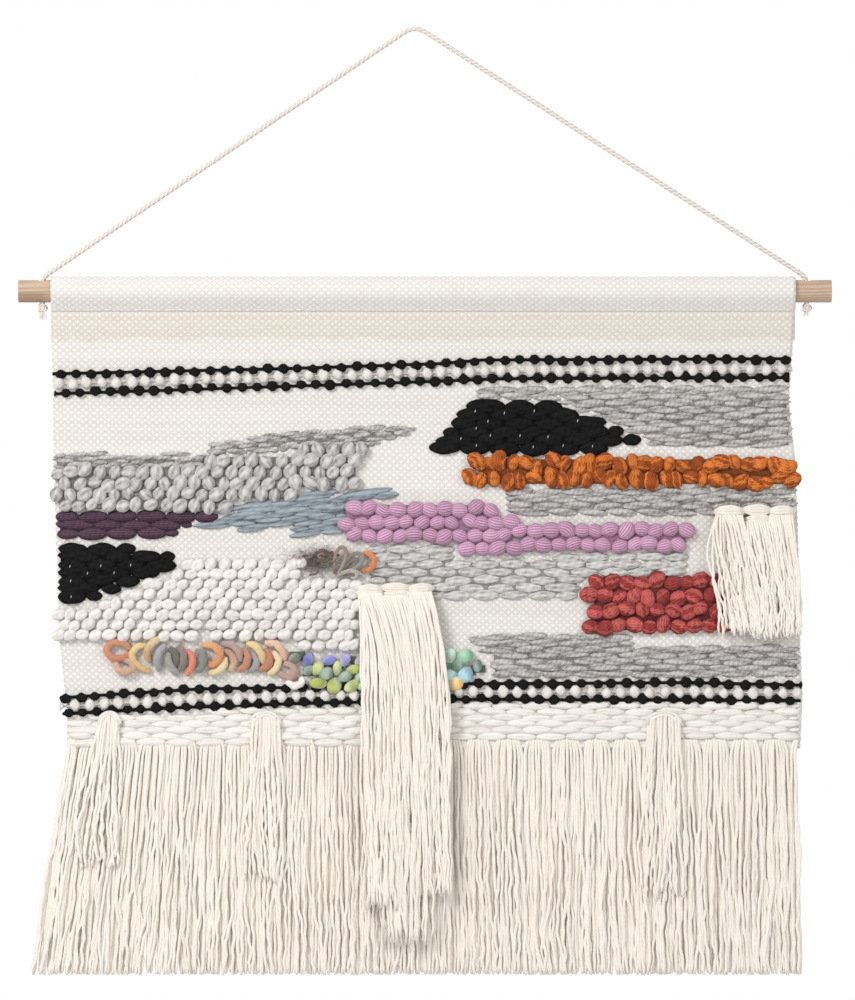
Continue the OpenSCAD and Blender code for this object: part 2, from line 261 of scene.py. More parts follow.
def yarn_tubes(path, across, deep, facing=FRONT, sides=12, plies=0, groove=0.0, twist=0.0,
               tone=None, rim=0.5):
    """Closed yarns along many paths at once, path being yarns x points x 3.

    A point of the surface is path + across cos(a) side + deep sin(a) out, where side is
    run x facing and out is side x run. Both half widths are multiplied by
    1 - groove (1 - |cos(plies (a + twist) / 2)|), so that many plies wind with the twist.
    The kept crown is that same |cos| times 1 - rim (1 - |sin a|)^2. The finishes paint it as
    light and shade: painted shade in the grooves between plies and towards the flanks where
    a yarn meets its neighbour. One point closes each end.
    """
    path = np.asarray(path, float)
    yarns, points = path.shape[:2]
    run = unit(np.gradient(path, axis=1))
    side = unit(np.cross(run, np.broadcast_to(np.asarray(facing, float), path.shape)))
    out = np.cross(side, run)
    angle = 2 * np.pi * np.arange(sides) / sides
    turned = angle + np.broadcast_to(twist, (yarns, points))[..., None]
    crown = np.abs(np.cos(plies * turned / 2)) if plies else np.ones_like(turned)
    thick = 1 - groove * (1 - crown)
    wide = np.broadcast_to(across, (yarns, points))[..., None] * thick * np.cos(angle)
    high = np.broadcast_to(deep, (yarns, points))[..., None] * thick * np.sin(angle)
    rings = path[:, :, None] + wide[..., None] * side[:, :, None] + high[..., None] * out[:, :, None]
    # Painted shade: the kept crown falls in the ply grooves and on the flanks where yarns meet.
    crown = crown * (1 - rim * (1 - np.abs(np.sin(angle))) ** 2)
    ply = np.round(plies * turned / (2 * np.pi)) % max(plies, 1)
    number = np.arange(yarns)[:, None, None]
    strand = (np.sin(ply * 12.9898 + number * 78.233) * 43758.5453) % 1
    step = np.linalg.norm(np.diff(path, axis=1), axis=2)
    along = np.concatenate([np.zeros((yarns, 1)), np.cumsum(step, axis=1)], axis=1)
    tone = (np.arange(yarns) * 0.61803) % 1 if tone is None else np.broadcast_to(tone, yarns)

    def closed(values):
        """Ring values with the first ring's and the last ring's mean put at the two end points."""
        values = np.broadcast_to(values, turned.shape)
        ends = values[:, [0, -1]].mean(2)
        return np.hstack([ends[:, :1], values.reshape(yarns, -1), ends[:, 1:]]).ravel()

    each = points * sides + 2
    ends = path[:, [0, -1]]
    body = np.hstack([ends[:, :1], rings.reshape(yarns, -1, 3), ends[:, 1:]]).reshape(-1, 3)
    here = 1 + np.arange((points - 1) * sides).reshape(points - 1, sides)
    after = 1 + np.arange(points - 1)[:, None] * sides + (np.arange(sides) + 1) % sides
    quads = np.stack([here, here + sides, after + sides, after], -1).reshape(-1, 4)
    first = 1 + np.arange(sides)
    second = 1 + (np.arange(sides) + 1) % sides
    last = (points - 1) * sides
    start_cap = np.stack([np.zeros(sides, int), first, second], -1)
    end_cap = np.stack([np.full(sides, each - 1), last + second, last + first], -1)
    moves = (np.arange(yarns) * each)[:, None, None]
    return {
        "points": body,
        "faces": [
            (quads + moves).reshape(-1, 4),
            (np.vstack([start_cap, end_cap]) + moves).reshape(-1, 3),
        ],
        "values": {
            "crown": closed(crown),
            "strand": closed(strand),
            "along": closed(along[..., None]),
            "lateral": closed(np.cos(angle)),
            "tone": np.repeat(tone, each),
        },
    }


def make_piece(name, parts, material, body=None, stands_for=()):
    """One smooth mesh of one or more surfaces, each with its values kept at its vertices."""
    starts = np.cumsum([0] + [len(part["points"]) for part in parts])
    points = np.concatenate([part["points"] for part in parts])
    faces = []
    for part, start in zip(parts, starts):
        for group in part["faces"]:
            faces += (group + int(start)).tolist()
    mesh = bpy.data.meshes.new(name)
    mesh.from_pydata(points.tolist(), [], faces)
    mesh.polygons.foreach_set("use_smooth", np.ones(len(faces), bool))
    for key in parts[0]["values"]:
        values = np.concatenate([part["values"][key] for part in parts]).astype(np.float32)
        kind = "FLOAT_COLOR" if values.ndim == 2 else "FLOAT"
        field = "color" if values.ndim == 2 else "value"
        mesh.attributes.new(key, kind, "POINT").data.foreach_set(field, values.ravel())
    mesh.materials.append(material)
    piece = bpy.data.objects.new(name, mesh)
    scene.collection.objects.link(piece)
    if body:
        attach(piece, body)
    if stands_for:
        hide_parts(*stands_for)
    return piece


def along_line(line, count):
    """count points at equal steps along a line through the given points, its corners rounded:
    the even steps are averaged with their neighbours, the two ends staying where they are."""
    line = np.asarray(line, float)
    reach = np.concatenate([[0], np.cumsum(np.linalg.norm(np.diff(line, axis=0), axis=1))])
    steps = np.linspace(0, reach[-1], count)
    even = np.stack([np.interp(steps, reach, line[:, k]) for k in range(3)], 1)
    spread = max(1, count // 12)
    held = np.pad(even, ((spread, spread), (0, 0)), mode="reflect", reflect_type="odd")
    kernel = np.hanning(2 * spread + 3)[1:-1]
    kernel /= kernel.sum()
    return np.stack([np.convolve(held[:, k], kernel, "valid") for k in range(3)], 1)


reach = np.concatenate([[0], np.cumsum(np.linalg.norm(np.diff(CORD_ROUTE, axis=0), axis=1))])
CORD_LENGTH = float(reach[-1])
steps = np.linspace(0, CORD_LENGTH, int(CORD_LENGTH / 0.001))
cord_path = np.stack([np.interp(steps, reach, CORD_ROUTE[:, k]) for k in range(3)], 1)
held = np.pad(cord_path, ((3, 3), (0, 0)), mode="reflect", reflect_type="odd")
cord_path = np.stack([np.convolve(held[:, k], np.ones(7) / 7, "valid") for k in range(3)], 1)
cord_cotton = yarn_finish("cord cotton", dye(246, 240, 233), dye(176, 160, 146), lay=0.0022,
                          depth=0.0003, gap=0.7, mottle=0.2)
laid = yarn_tubes(cord_path[None], CORD_D / 2, CORD_D / 2, sides=15, plies=3, groove=0.3,
                  twist=-2 * np.pi * steps[None] / 0.0135)
cord = make_piece("twisted_cord", [laid], cord_cotton, "hanger", ["hanging_cord"])


def stopper_knot(centre, tail, seed):
    """An overhand knot: the closed curve ((2 + cos 3t) cos 2t, 1.15 sin 3t,
    (2 + cos 3t) sin 2t), with a tail of loose fibres under it."""
    random = np.random.default_rng(seed)
    t = np.linspace(0, 2 * np.pi, 61)
    knot = np.stack([(2 + np.cos(3 * t)) * np.cos(2 * t), 1.15 * np.sin(3 * t),
                     (2 + np.cos(3 * t)) * np.sin(2 * t)], 1)
    knot = np.asarray(centre) + 0.00092 * knot
    twist = -2 * np.pi * np.linspace(0, 3, 61)[None]
    parts = [yarn_tubes(knot[None], 0.0016, 0.0016, (0.1, -1, 0.15), 12, 3, 0.3, twist)]
    count = 14
    lean = random.normal(0, 0.24, (count, 2))
    drop = tail * random.uniform(0.7, 1.1, count)
    s = np.linspace(0, 1, 6)
    fibre = np.zeros((count, 6, 3))
    fibre[..., 0] = centre[0] + 0.0006 * lean[:, :1] / 0.24 + lean[:, :1] * drop[:, None] * s
    fibre[..., 1] = centre[1] + 0.0006 * lean[:, 1:] / 0.24 + lean[:, 1:] * drop[:, None] * s
    fibre[..., 2] = centre[2] - 0.0026 - drop[:, None] * s
    parts.append(yarn_tubes(fibre, 0.0005 - 0.0003 * s, 0.0005 - 0.0003 * s, sides=6))
    return parts


knot_left = make_piece("stopper_knot_left", stopper_knot((-0.298, 0, -0.2214), 0.0065, 3),
                       cord_cotton, "hanger", ["cord_knot_left"])
knot_right = make_piece("stopper_knot_right", stopper_knot((0.3135, 0, -0.2214), 0.004, 4),
                        cord_cotton, "hanger", ["cord_knot_right"])

# ---- Dowel ----
# A plain round rod of pale untreated hardwood, sawn square at both ends and drilled down
# through for the cord. Its growth rings run the length of the rod and show on its ends.

wood = Finish("dowel wood", rough=0.62, sheen=0.0)
turned_at = wood.node("ShaderNodeMapping", {}, {
    "Vector": wood.place(), "Location": (0, -0.021, 0.238), "Rotation": (0.0, 0.012, 0.02)})[0]
x, y, z = wood.node("ShaderNodeSeparateXYZ", {}, {"Vector": turned_at})
wander = wood.patches(60, 2.0, (0.12, 1, 1))
heart = (y * y + z * z) ** 0.5 + (wander - 0.5) * 0.0022
rings = (heart * (2 * math.pi / 0.0021)).wave()
pores = wood.patches(900, 2.0, (0.035, 1, 1))
long_streak = wood.patches(220, 2.0, (0.03, 1, 1))
pale = wood.mixed(rings * 0.55 + (pores - 0.5) * 0.7 + (long_streak - 0.5) * 0.6,
                  dye(204, 179, 157), dye(160, 130, 105))
own_x, _, own_z = wood.node("ShaderNodeSeparateXYZ", {}, {"Vector": wood.place()})
# The lower half of the rod near its left end is darker.
left_end_lower_dark = own_x.within(-0.290, -0.300) * own_z.within(-0.2085, -0.2105) * 0.5
cut_end = own_x.within(0.3325, 0.333) + own_x.within(-0.3165, -0.317)
pale = wood.mixed(left_end_lower_dark + cut_end * 0.25, pale, dye(140, 112, 90))
wood_finish = wood.paint(pale, rings * 0.2 - pores, 0.00012)
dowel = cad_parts["dowel"]
for place in dowel.material_slots:
    place.material = wood_finish

# ---- Ground cloth ----
# Plain-woven off-white cotton, a warp every 3 mm and a pick every 2.6 mm, hanging flat
# from the sleeve. Each crossing stands proud in turn, so the face is a fine chequer.

PICK_PITCH = 0.0026
CLOTH_HALF = 0.0012
CLOTH_TOP = -0.2243
CLOTH_FOOT = -0.574
LEFT_EDGE = np.array([(-0.291, -0.224), (-0.290, -0.259), (-0.288, -0.375),
                      (-0.284, -0.487), (-0.278, -0.547), (-0.278, -0.574)])
RIGHT_EDGE = np.array([(0.304, -0.224), (0.299, -0.295), (0.304, -0.343), (0.306, -0.391),
                       (0.308, -0.487), (0.310, -0.535), (0.308, -0.574)])


def sway(x, z):
    """How far the cloth stands off its plane: two slow waves across it, growing from nothing
    at the sleeve to their full height 100 mm below it."""
    grown = np.clip((-0.226 - np.asarray(z)) / 0.10, 0, 1)
    waves = np.sin(x * 30 + 1.0) + 0.6 * np.sin(x * 47 + z * 12 + 0.4)
    return 0.00045 * grown * grown * (3 - 2 * grown) * waves


def woven_slab(front, back, crossing, tone):
    """A closed slab of cloth between two grids of rows x columns x 3 points, front and back,
    joined round the rim. Each square is split along the line between its two low crossings,
    so that every high one is a separate bump."""
    rows, columns = front.shape[:2]
    count = rows * columns
    number = np.arange(count).reshape(rows, columns)
    a, b, c, d = number[:-1, :-1], number[1:, :-1], number[1:, 1:], number[:-1, 1:]
    low = crossing[:-1, :-1] < 0
    one = np.where(low[..., None], np.stack([a, b, c], -1), np.stack([a, b, d], -1))
    two = np.where(low[..., None], np.stack([a, c, d], -1), np.stack([b, c, d], -1))
    face = np.concatenate([one.reshape(-1, 3), two.reshape(-1, 3)])
    rim = np.concatenate([number[:, 0], number[-1, 1:], number[-2::-1, -1], number[0, -2:0:-1]])
    after = np.roll(rim, -1)
    wall = np.stack([rim, rim + count, after + count, after], -1)
    # Painted shade: the kept crown is light on the high crossings and dark on the low ones, the back face
    # the other way round.
    high = (crossing.ravel() + 1) / 2
    return {
        "points": np.concatenate([front.reshape(-1, 3), back.reshape(-1, 3)]),
        "faces": [face, face[:, ::-1] + count, wall],
        "values": {
            "crown": np.concatenate([high, 1 - high]),
            "tone": np.concatenate([tone.ravel(), tone.ravel()]),
        },
    }


picks = int(round((CLOTH_TOP - CLOTH_FOOT) / PICK_PITCH)) + 1
warps = 202
share, heights = np.meshgrid(np.linspace(0, 1, warps), np.linspace(CLOTH_TOP, CLOTH_FOOT, picks))
left = np.interp(-heights, -LEFT_EDGE[:, 1], LEFT_EDGE[:, 0])
right = np.interp(-heights, -RIGHT_EDGE[:, 1], RIGHT_EDGE[:, 0])
random = np.random.default_rng(11)
crossing = (-1.0) ** np.add.outer(np.arange(picks), np.arange(warps))
flat_x = left + share * (right - left) + random.normal(0, 0.00012, (picks, warps))
flat_x[:, [0, -1]] += 0.0004 * crossing[:, [0, -1]]
beat = random.normal(0, 0.0002, picks)[:, None] + 0.0004 * np.sin(flat_x * 26 + heights * 90)
beat[[0, -1]] = 0
flat_z = heights + beat + random.normal(0, 0.00012, (picks, warps))
relief = 0.00042 * crossing * random.uniform(0.75, 1.2, (picks, warps))
relief[0] = 0
off = sway(flat_x, flat_z)
front = np.stack([flat_x, off - CLOTH_HALF - relief, flat_z], -1)
back = np.stack([flat_x, off + CLOTH_HALF - relief, flat_z], -1)
pick_tone = np.repeat(random.uniform(0, 1, picks)[:, None], warps, 1)

cloth = Finish("cloth cotton", sheen=0.2)
over = cloth.kept("crown")
_, _, z = cloth.node("ShaderNodeSeparateXYZ", {}, {"Vector": cloth.place()})
uneven = cloth.patches(70, 2.0)
nap = cloth.patches(1300, 3.0)
tint = cloth.patches(45, 3.0, (1, 1, 2.5))
# Painted shade: a slightly darker, yellower band over the place where the hem hangs behind the cloth.
hem_shade_band = (z + (uneven - 0.5) * 0.012).within(-0.2475, -0.2445) * z.within(-0.2235, -0.2275)
# Painted shade: the cloth is lighter on its high crossings and darker on its low ones.
bright = over * 0.75 + 0.27 - (nap - 0.5) * 0.6 + (cloth.kept("tone") - 0.5) * 0.16
white = cloth.mixed(bright, dye(202, 196, 190), dye(247, 244, 240))
white = cloth.mixed((tint - 0.48) * 1.2, white, dye(246, 240, 236), "MULTIPLY")
white = cloth.mixed(hem_shade_band * 0.8, white, dye(244, 240, 230), "MULTIPLY")
cloth_finish = cloth.paint(white, over * 0.5 + nap * 0.7, 0.00035)
ground_piece = make_piece("woven_cloth", [woven_slab(front, back, crossing, pick_tone)],
                          cloth_finish, "panel", ["ground_cloth"])

# ---- Sleeve ----
# The same cloth folded back round the dowel and sewn to itself through both layers, with
# a hem left hanging behind. A running stitch of cotton thread closes it.

DOWEL_Z = -0.208
SLEEVE_MID = 0.0107
SLEEVE_SLOPE = math.radians(42.8)
HEM_FOOT = -0.2465

turn = np.linspace(SLEEVE_SLOPE, -math.pi - SLEEVE_SLOPE, 73)
bend = np.stack([-SLEEVE_MID * np.cos(turn), DOWEL_Z - SLEEVE_MID * np.sin(turn)], 1)
profile = np.concatenate([[(0.0, -0.2243)], bend, [(0.0011, -0.2226), (0.0027, -0.2252)],
                          [(0.0027, HEM_FOOT)]])
reach = np.concatenate([[0], np.cumsum(np.linalg.norm(np.diff(profile, axis=0), axis=1))])
SLEEVE_LENGTH = float(reach[-1])
rounds = int(round(SLEEVE_LENGTH / PICK_PITCH)) + 1
steps = np.linspace(0, SLEEVE_LENGTH, rounds)
mid = np.stack([np.interp(steps, reach, profile[:, k]) for k in (0, 1)], 1)
run = unit(np.gradient(mid, axis=0))
normal = np.stack([-run[:, 1], run[:, 0]], 1)
random = np.random.default_rng(12)
crossing = (-1.0) ** np.add.outer(np.arange(rounds), np.arange(warps))
flat_x = np.linspace(-0.291, 0.304, warps)[None] + random.normal(0, 0.0001, (rounds, warps))
faded = np.clip((mid[:, 1] + 0.2245) / 0.009, 0.12, 1)
faded[rounds // 2:] = 1
relief = 0.0004 * crossing * faded[:, None] * random.uniform(0.75, 1.2, (rounds, warps))
crease = np.exp(-((flat_x + 0.092) / 0.0016) ** 2) + np.exp(-((flat_x - 0.182) / 0.0016) ** 2)
# The inner face is pressed smoother, so that it stays clear of the dowel.
inner_relief = 0.4 * relief
relief -= 0.0005 * crease * np.sin(np.pi * steps / SLEEVE_LENGTH)[:, None]


def sleeve_face(off):
    """The sleeve's middle line moved off its own plane, carried across the cloth's width."""
    grid = np.zeros((rounds, warps, 3))
    grid[..., 0] = flat_x
    grid[..., 1] = mid[:, :1] + normal[:, :1] * off
    grid[..., 2] = mid[:, 1:] + normal[:, 1:] * off
    return grid


SLEEVE_HALF = 0.00110
outer, inner = sleeve_face(SLEEVE_HALF + relief), sleeve_face(-SLEEVE_HALF + inner_relief)
tone = np.repeat(random.uniform(0.9, 1.5, rounds)[:, None], warps, 1)
sleeve_piece = make_piece("sewn_sleeve", [woven_slab(outer[::-1], inner[::-1], crossing[::-1], tone)],
                          cloth_finish, "panel", ["rod_sleeve"])

stitch_x = np.arange(-0.285, 0.298, 0.008)
s = np.linspace(-1, 1, 7)
stitch = np.zeros((len(stitch_x), 7, 3))
stitch[..., 0] = stitch_x[:, None] + 0.0022 * s
stitch[..., 2] = -0.2229 + 0.0002 * np.sin(stitch_x * 900)[:, None]
face_y = 0.0021 + 0.0005 * (1 - s ** 4)
fore = stitch.copy()
fore[..., 1] = -face_y
rear = stitch + [0.004, 0, 0]
rear[..., 1] = face_y + 0.0014
thread = yarn_finish("sewing thread", dye(248, 246, 243), dye(205, 198, 190), mottle=0.1)
round_end = 0.00042 * (1 - 0.6 * s ** 4)
make_piece("sleeve_thread", [yarn_tubes(fore, round_end, round_end, sides=8, plies=2, groove=0.2,
                                        twist=3 * s),
                             yarn_tubes(rear, round_end, round_end, sides=8, plies=2, groove=0.2,
                                        twist=3 * s)],
           thread, "panel", ["sleeve_stitches"])

# ---- Striped borders ----
# Two borders of three rows each: thick wool weft packed as round beads where it crosses
# over the warp and thin between, black above and below white, the white half a bead along.

BEAD_PITCH = 0.0118


def front_triangles(node):
    """The triangles of a frame node's front face as x and z pairs: those whose three
    corners all lie at the node's lowest y."""
    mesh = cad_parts[node].data
    mesh.calc_loop_triangles()
    places = np.empty(len(mesh.vertices) * 3)
    mesh.vertices.foreach_get("co", places)
    places = places.reshape(-1, 3)
    corners = np.empty(len(mesh.loop_triangles) * 3, int)
    mesh.loop_triangles.foreach_get("vertices", corners)
    triangles = places[corners.reshape(-1, 3)]
    facing = (triangles[..., 1] < places[:, 1].min() + 1e-5).all(1)
    return triangles[facing][..., [0, 2]]


def row_line(node):
    """A row's middle line: halfway between its top and bottom wherever its outline turns."""
    corners = front_triangles(node).reshape(-1, 2)
    turns = np.unique(corners[:, 0].round(5))
    levels = [corners[np.abs(corners[:, 0] - turn) < 2e-5, 1] for turn in turns]
    return turns, np.array([(level.min() + level.max()) / 2 for level in levels])


def bead_row(node, thin, half_width, half_height, offset, hang, seed, shadow=0.8):
    """One weft yarn along a row. Its half height is thin + (bead - thin) L, with
    L = exp(-(d / half_width)^4) and d the distance to the nearest bead's middle; L also
    lifts it off the cloth. Beads differ in size, place and level."""
    random = np.random.default_rng(seed)
    turns, levels = row_line(node)
    x = np.arange(turns[0] - 0.0030, turns[-1] + 0.0020, 0.0008)
    number = np.floor((x - turns[0] - offset) / BEAD_PITCH + 0.5).astype(int)
    number -= number.min()
    first = turns[0] + offset + np.floor((x[0] - turns[0] - offset) / BEAD_PITCH + 0.5) * BEAD_PITCH
    kinds = number.max() + 1
    size = random.uniform(0.86, 1.12, kinds)[number]
    middle = first + number * BEAD_PITCH + random.uniform(-0.0009, 0.0009, kinds)[number]
    level = random.uniform(-0.0007, 0.0007, kinds)[number] + hang
    lobe = np.exp(-(np.abs(x - middle) / (half_width * size)) ** 4)
    height = thin + (half_height * size - thin) * lobe
    deep = 0.0010 + 0.0020 * lobe
    z = np.interp(x, turns, levels) + level * lobe
    y = sway(x, z) - CLOTH_HALF - 0.0003 - 0.0013 * lobe
    path = np.stack([x, y, z], 1)[None]
    row = yarn_tubes(path, height, deep, sides=14, plies=5, groove=0.16,
                     twist=2 * np.pi * x / 0.0125, tone=random.uniform(0, 1))
    # Painted shade: the thin parts between beads keep only shadow of their crown, so they show dark; the
    # beads keep all of it.
    shade = np.concatenate([lobe[:1], np.repeat(lobe, 14), lobe[-1:]])
    row["values"]["crown"] = row["values"]["crown"] * (shadow + (1 - shadow) * shade)
    return row


black_wool = yarn_finish("black wool", dye(33, 32, 33), dye(5, 5, 6), lay=0.005,
                         depth=0.0004, gap=0.7, mottle=0.9, sheen=0.0, shine=0.07)
white_wool = yarn_finish("white wool", dye(248, 243, 239), dye(140, 131, 125), lay=0.007,
                         depth=0.0004, gap=0.45, mottle=0.22)
BORDERS = [
    ("upper_stripe_black_top", black_wool, "black_wool", 0.0165, -0.0004),
    ("upper_stripe_white", white_wool, "white_wool", 0.0110, 0.0),
    ("upper_stripe_black_bottom", black_wool, "black_wool", 0.0170, 0.0004),
    ("lower_stripe_black_top", black_wool, "black_wool", 0.0135, -0.0002),
    ("lower_stripe_white", white_wool, "white_wool", 0.0195, 0.0),
    ("lower_stripe_black_bottom", black_wool, "black_wool", 0.0250, 0.0005),
]
for seed, (node, finish, slot, offset, hang) in enumerate(BORDERS):
    if slot == "white_wool":
        row = bead_row(node, 0.0010, 0.0033, 0.0048, offset, hang, 20 + seed, 0.15)
    else:
        row = bead_row(node, 0.0013, 0.0032, 0.0041, offset, hang, 20 + seed)
    make_piece("yarn_" + node, [row], finish, "panel", [node])

# ---- Flat wrapped rows ----
# Wool wrapped forward over eight warps and back under some, row on row like bricks. Each
# wrap is a flat spindle that dips into the cloth at both ends, and the rows press together.


def inside(node, x, z):
    """Whether each point lies in a node's front outline: on one side of all three edges of
    at least one of its triangles."""
    corners = front_triangles(node)
    a, b, c = corners[:, 0], corners[:, 1], corners[:, 2]
    point_x, point_z = np.asarray(x)[..., None], np.asarray(z)[..., None]

    def beside(p, q):
        return (q[:, 0] - p[:, 0]) * (point_z - p[:, 1]) - (q[:, 1] - p[:, 1]) * (point_x - p[:, 0])

    sides = np.stack([beside(a, b), beside(b, c), beside(c, a)])
    size = np.abs((b[:, 0] - a[:, 0]) * (c[:, 1] - a[:, 1]) - (b[:, 1] - a[:, 1]) * (c[:, 0] - a[:, 0]))
    return (((sides > 0).all(0) | (sides < 0).all(0)) & (size > 1e-9)).any(-1)


def row_cuts(node, level, slope, pitch, offset, shortest, margin=0.0):
    """Both ends of each wrap in one row: every run of the row that lies inside the outline,
    and inside it by a margin above and below, cut at each pitch, with no piece shorter than
    the shortest."""
    low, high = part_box(node)
    x = np.arange(low.x - 0.0005, high.x + 0.001, 0.0005)
    z = level + slope * (x - (low.x + high.x) / 2)
    held = inside(node, x, z)
    if margin:
        held = held & inside(node, x, z + margin) & inside(node, x, z - margin)
    held = held.astype(int)
    turns = np.flatnonzero(np.diff(np.concatenate([[0], held, [0]]))).reshape(-1, 2)
    pairs = []
    for start, stop in turns:
        a, b = x[start], x[min(stop, len(x) - 1)]
        if b - a < shortest:
            continue
        cuts = offset + pitch * np.arange(math.ceil((a - offset) / pitch), (b - offset) / pitch)
        cuts = cuts[(cuts > a + shortest) & (cuts < b - shortest)]
        marks = np.concatenate([[a], cuts, [b]])
        pairs += list(zip(marks[:-1], marks[1:]))
    return pairs


# A pitch and an offset far wider than the cloth, which leave each run in one piece.
UNCUT = {"pitch": 9.0, "offset": 4.0}


def shaded_bed_rows(node, row, slope=0.0, proud=0.0009, shade=0.10, short=0.0022, margin=None, runs=(),
             half=None):
    """What lies under the wraps: the same yarn's plain passes, one flat even length for each
    run of a row inside the outline, or for each of the runs given, short of both its ends.
    Its crown is cut down by shade, so that it is painted dark as the shade in the gaps between
    the wraps. Its half height is half, or else 0.56 of the row."""
    low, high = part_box(node)
    extra = abs(slope) * (high.x - low.x) / 2
    margin = margin or row
    levels = np.arange(high.z + extra - margin, low.z - extra + margin, -row * 0.9)
    ends = [(a + short, b - short, level) for level in levels
            for a, b in row_cuts(node, level, slope, shortest=row + 2 * short, margin=margin, **UNCUT)]
    ends = np.array([(a + short, b - short, level) for level, a, b in runs] or ends)
    s = np.linspace(0, 1, 24)
    x = ends[:, :1] + (ends[:, 1:2] - ends[:, :1]) * s
    z = ends[:, 2:] + slope * (x - (low.x + high.x) / 2)
    y = sway(x, z) - CLOTH_HALF - proud * 0.5
    body = yarn_tubes(np.stack([x, y, z], -1), half or row * 0.56, proud, sides=8, tone=0.2)
    # Painted shade: the bed is darkened to stand for the shade in the gaps.
    body["values"]["crown"] = body["values"]["crown"] * shade
    return body


def loose_hairs(node, count, length, seed, proud=0.0022):
    """Fine hairs that stand out of a hairy wool: each starts inside the node's outline and
    runs t length in its own direction, turning by bend t as it goes."""
    random = np.random.default_rng(seed)
    low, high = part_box(node)
    x, z = random.uniform(low.x, high.x, count * 3), random.uniform(low.z, high.z, count * 3)
    held = np.flatnonzero(inside(node, x, z))[:count]
    x, z = x[held, None], z[held, None]
    t = np.linspace(0, 1, 5)
    heading = random.uniform(0, 2 * np.pi, (len(held), 1)) + random.normal(0, 0.9, (len(held), 1)) * t
    long = random.uniform(0.4, 1.0, (len(held), 1)) * length * t
    lift = random.uniform(0.6, 1.2, (len(held), 1)) * proud
    path = np.stack([x + long * np.cos(heading), sway(x, z) - CLOTH_HALF - lift + 0 * t,
                     z + long * np.sin(heading) * 0.7], -1)
    thin = 0.00013 * (1.1 - t)
    hairs = yarn_tubes(path, thin, thin, sides=3, rim=0.0)
    # Painted light: the hairs' crown is raised past 1, so they show in the finish's lightest colour.
    hairs["values"]["crown"] = hairs["values"]["crown"] * 1.4
    return hairs


WRAP_PITCH = 0.0237


def wrapped_rows(node, row, half, thick, pitch=WRAP_PITCH, slope=0.0, rise=0.0, plies=3, groove=0.2,
                 wind=3.0, blunt=2.2, overlap=1.06, sides=12, start=0.0, uneven=0.06, seed=0,
                 face=-1, least=0.55, shortest=0.36, more=()):
    """Brick rows of wraps on the cloth's front, or with face 1 on its back, and any more
    wraps given as left end, right end, height. Along a wrap s runs from -1 to 1; its half
    widths are half and thick times 0.08 + 0.92 (1 - |s|^blunt)^0.6, it stands off the cloth
    by the same share of its thickness, and it climbs by rise, the other way in every second
    row. A row isn't cut shorter than shortest of a pitch, and a short wrap is thinner, down
    to least of the whole."""
    random = np.random.default_rng(seed)
    low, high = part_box(node)
    middle = (low.x + high.x) / 2
    extra = abs(slope) * (high.x - low.x) / 2
    levels = np.arange(high.z + extra - half * 0.8 - start, low.z - extra + half * 0.4, -row)
    pairs, lines, turn = [], [], []
    for k, level in enumerate(levels):
        cut = row_cuts(node, level, slope, pitch, middle + (k % 2) * pitch / 2, pitch * shortest)
        pairs += cut
        lines += [level] * len(cut)
        turn += [(-1) ** k] * len(cut)
    for a, b, level in more:
        pairs.append((a, b))
        lines.append(level - slope * ((a + b) / 2 - middle))
        turn.append(1)
    pairs, lines, turn = np.array(pairs), np.array(lines)[:, None], np.array(turn)[:, None]
    count = len(pairs)
    s = np.linspace(-1, 1, 15)
    spread = (pairs[:, 1] - pairs[:, 0])[:, None] / 2 * overlap
    x = pairs.mean(1)[:, None] + spread * s + random.normal(0, uneven * 0.006, (count, 1))
    z = lines + slope * (x - middle) + rise * turn * spread * s
    z = z + random.normal(0, uneven * 0.008, (count, 1))
    z = z + random.normal(0, uneven, (count, 1)) * spread * s * 0.4
    full = 0.08 + 0.92 * np.maximum(1 - np.abs(s) ** blunt, 0.0) ** 0.6
    size = random.uniform(1 - 2 * uneven, 1 + 2 * uneven, (count, 1))
    short = np.clip(spread / (pitch * 0.42), least, 1)
    y = sway(x, z) + face * (CLOTH_HALF - 0.0004 + thick * 0.95 * full * short)
    twist = wind * s * turn
    if wind:
        twist = twist + random.uniform(0, 2 * np.pi, (count, 1))
    return yarn_tubes(np.stack([x, y, z], -1), half * full * size * short, thick * full * size * short,
                      sides=sides, plies=plies, groove=groove, twist=twist,
                      tone=random.uniform(0, 1, count), rim=0.85)


def tails_behind(node, seed):
    """The back of a field of yarn: the same yarn's short even stitches between its turns."""
    return wrapped_rows(node, row=0.0078, half=0.0019, thick=0.0008, pitch=0.0158, rise=0.05,
                        plies=2, groove=0.12, wind=1.5, overlap=0.72, sides=8, uneven=0.12,
                        seed=seed, face=1)


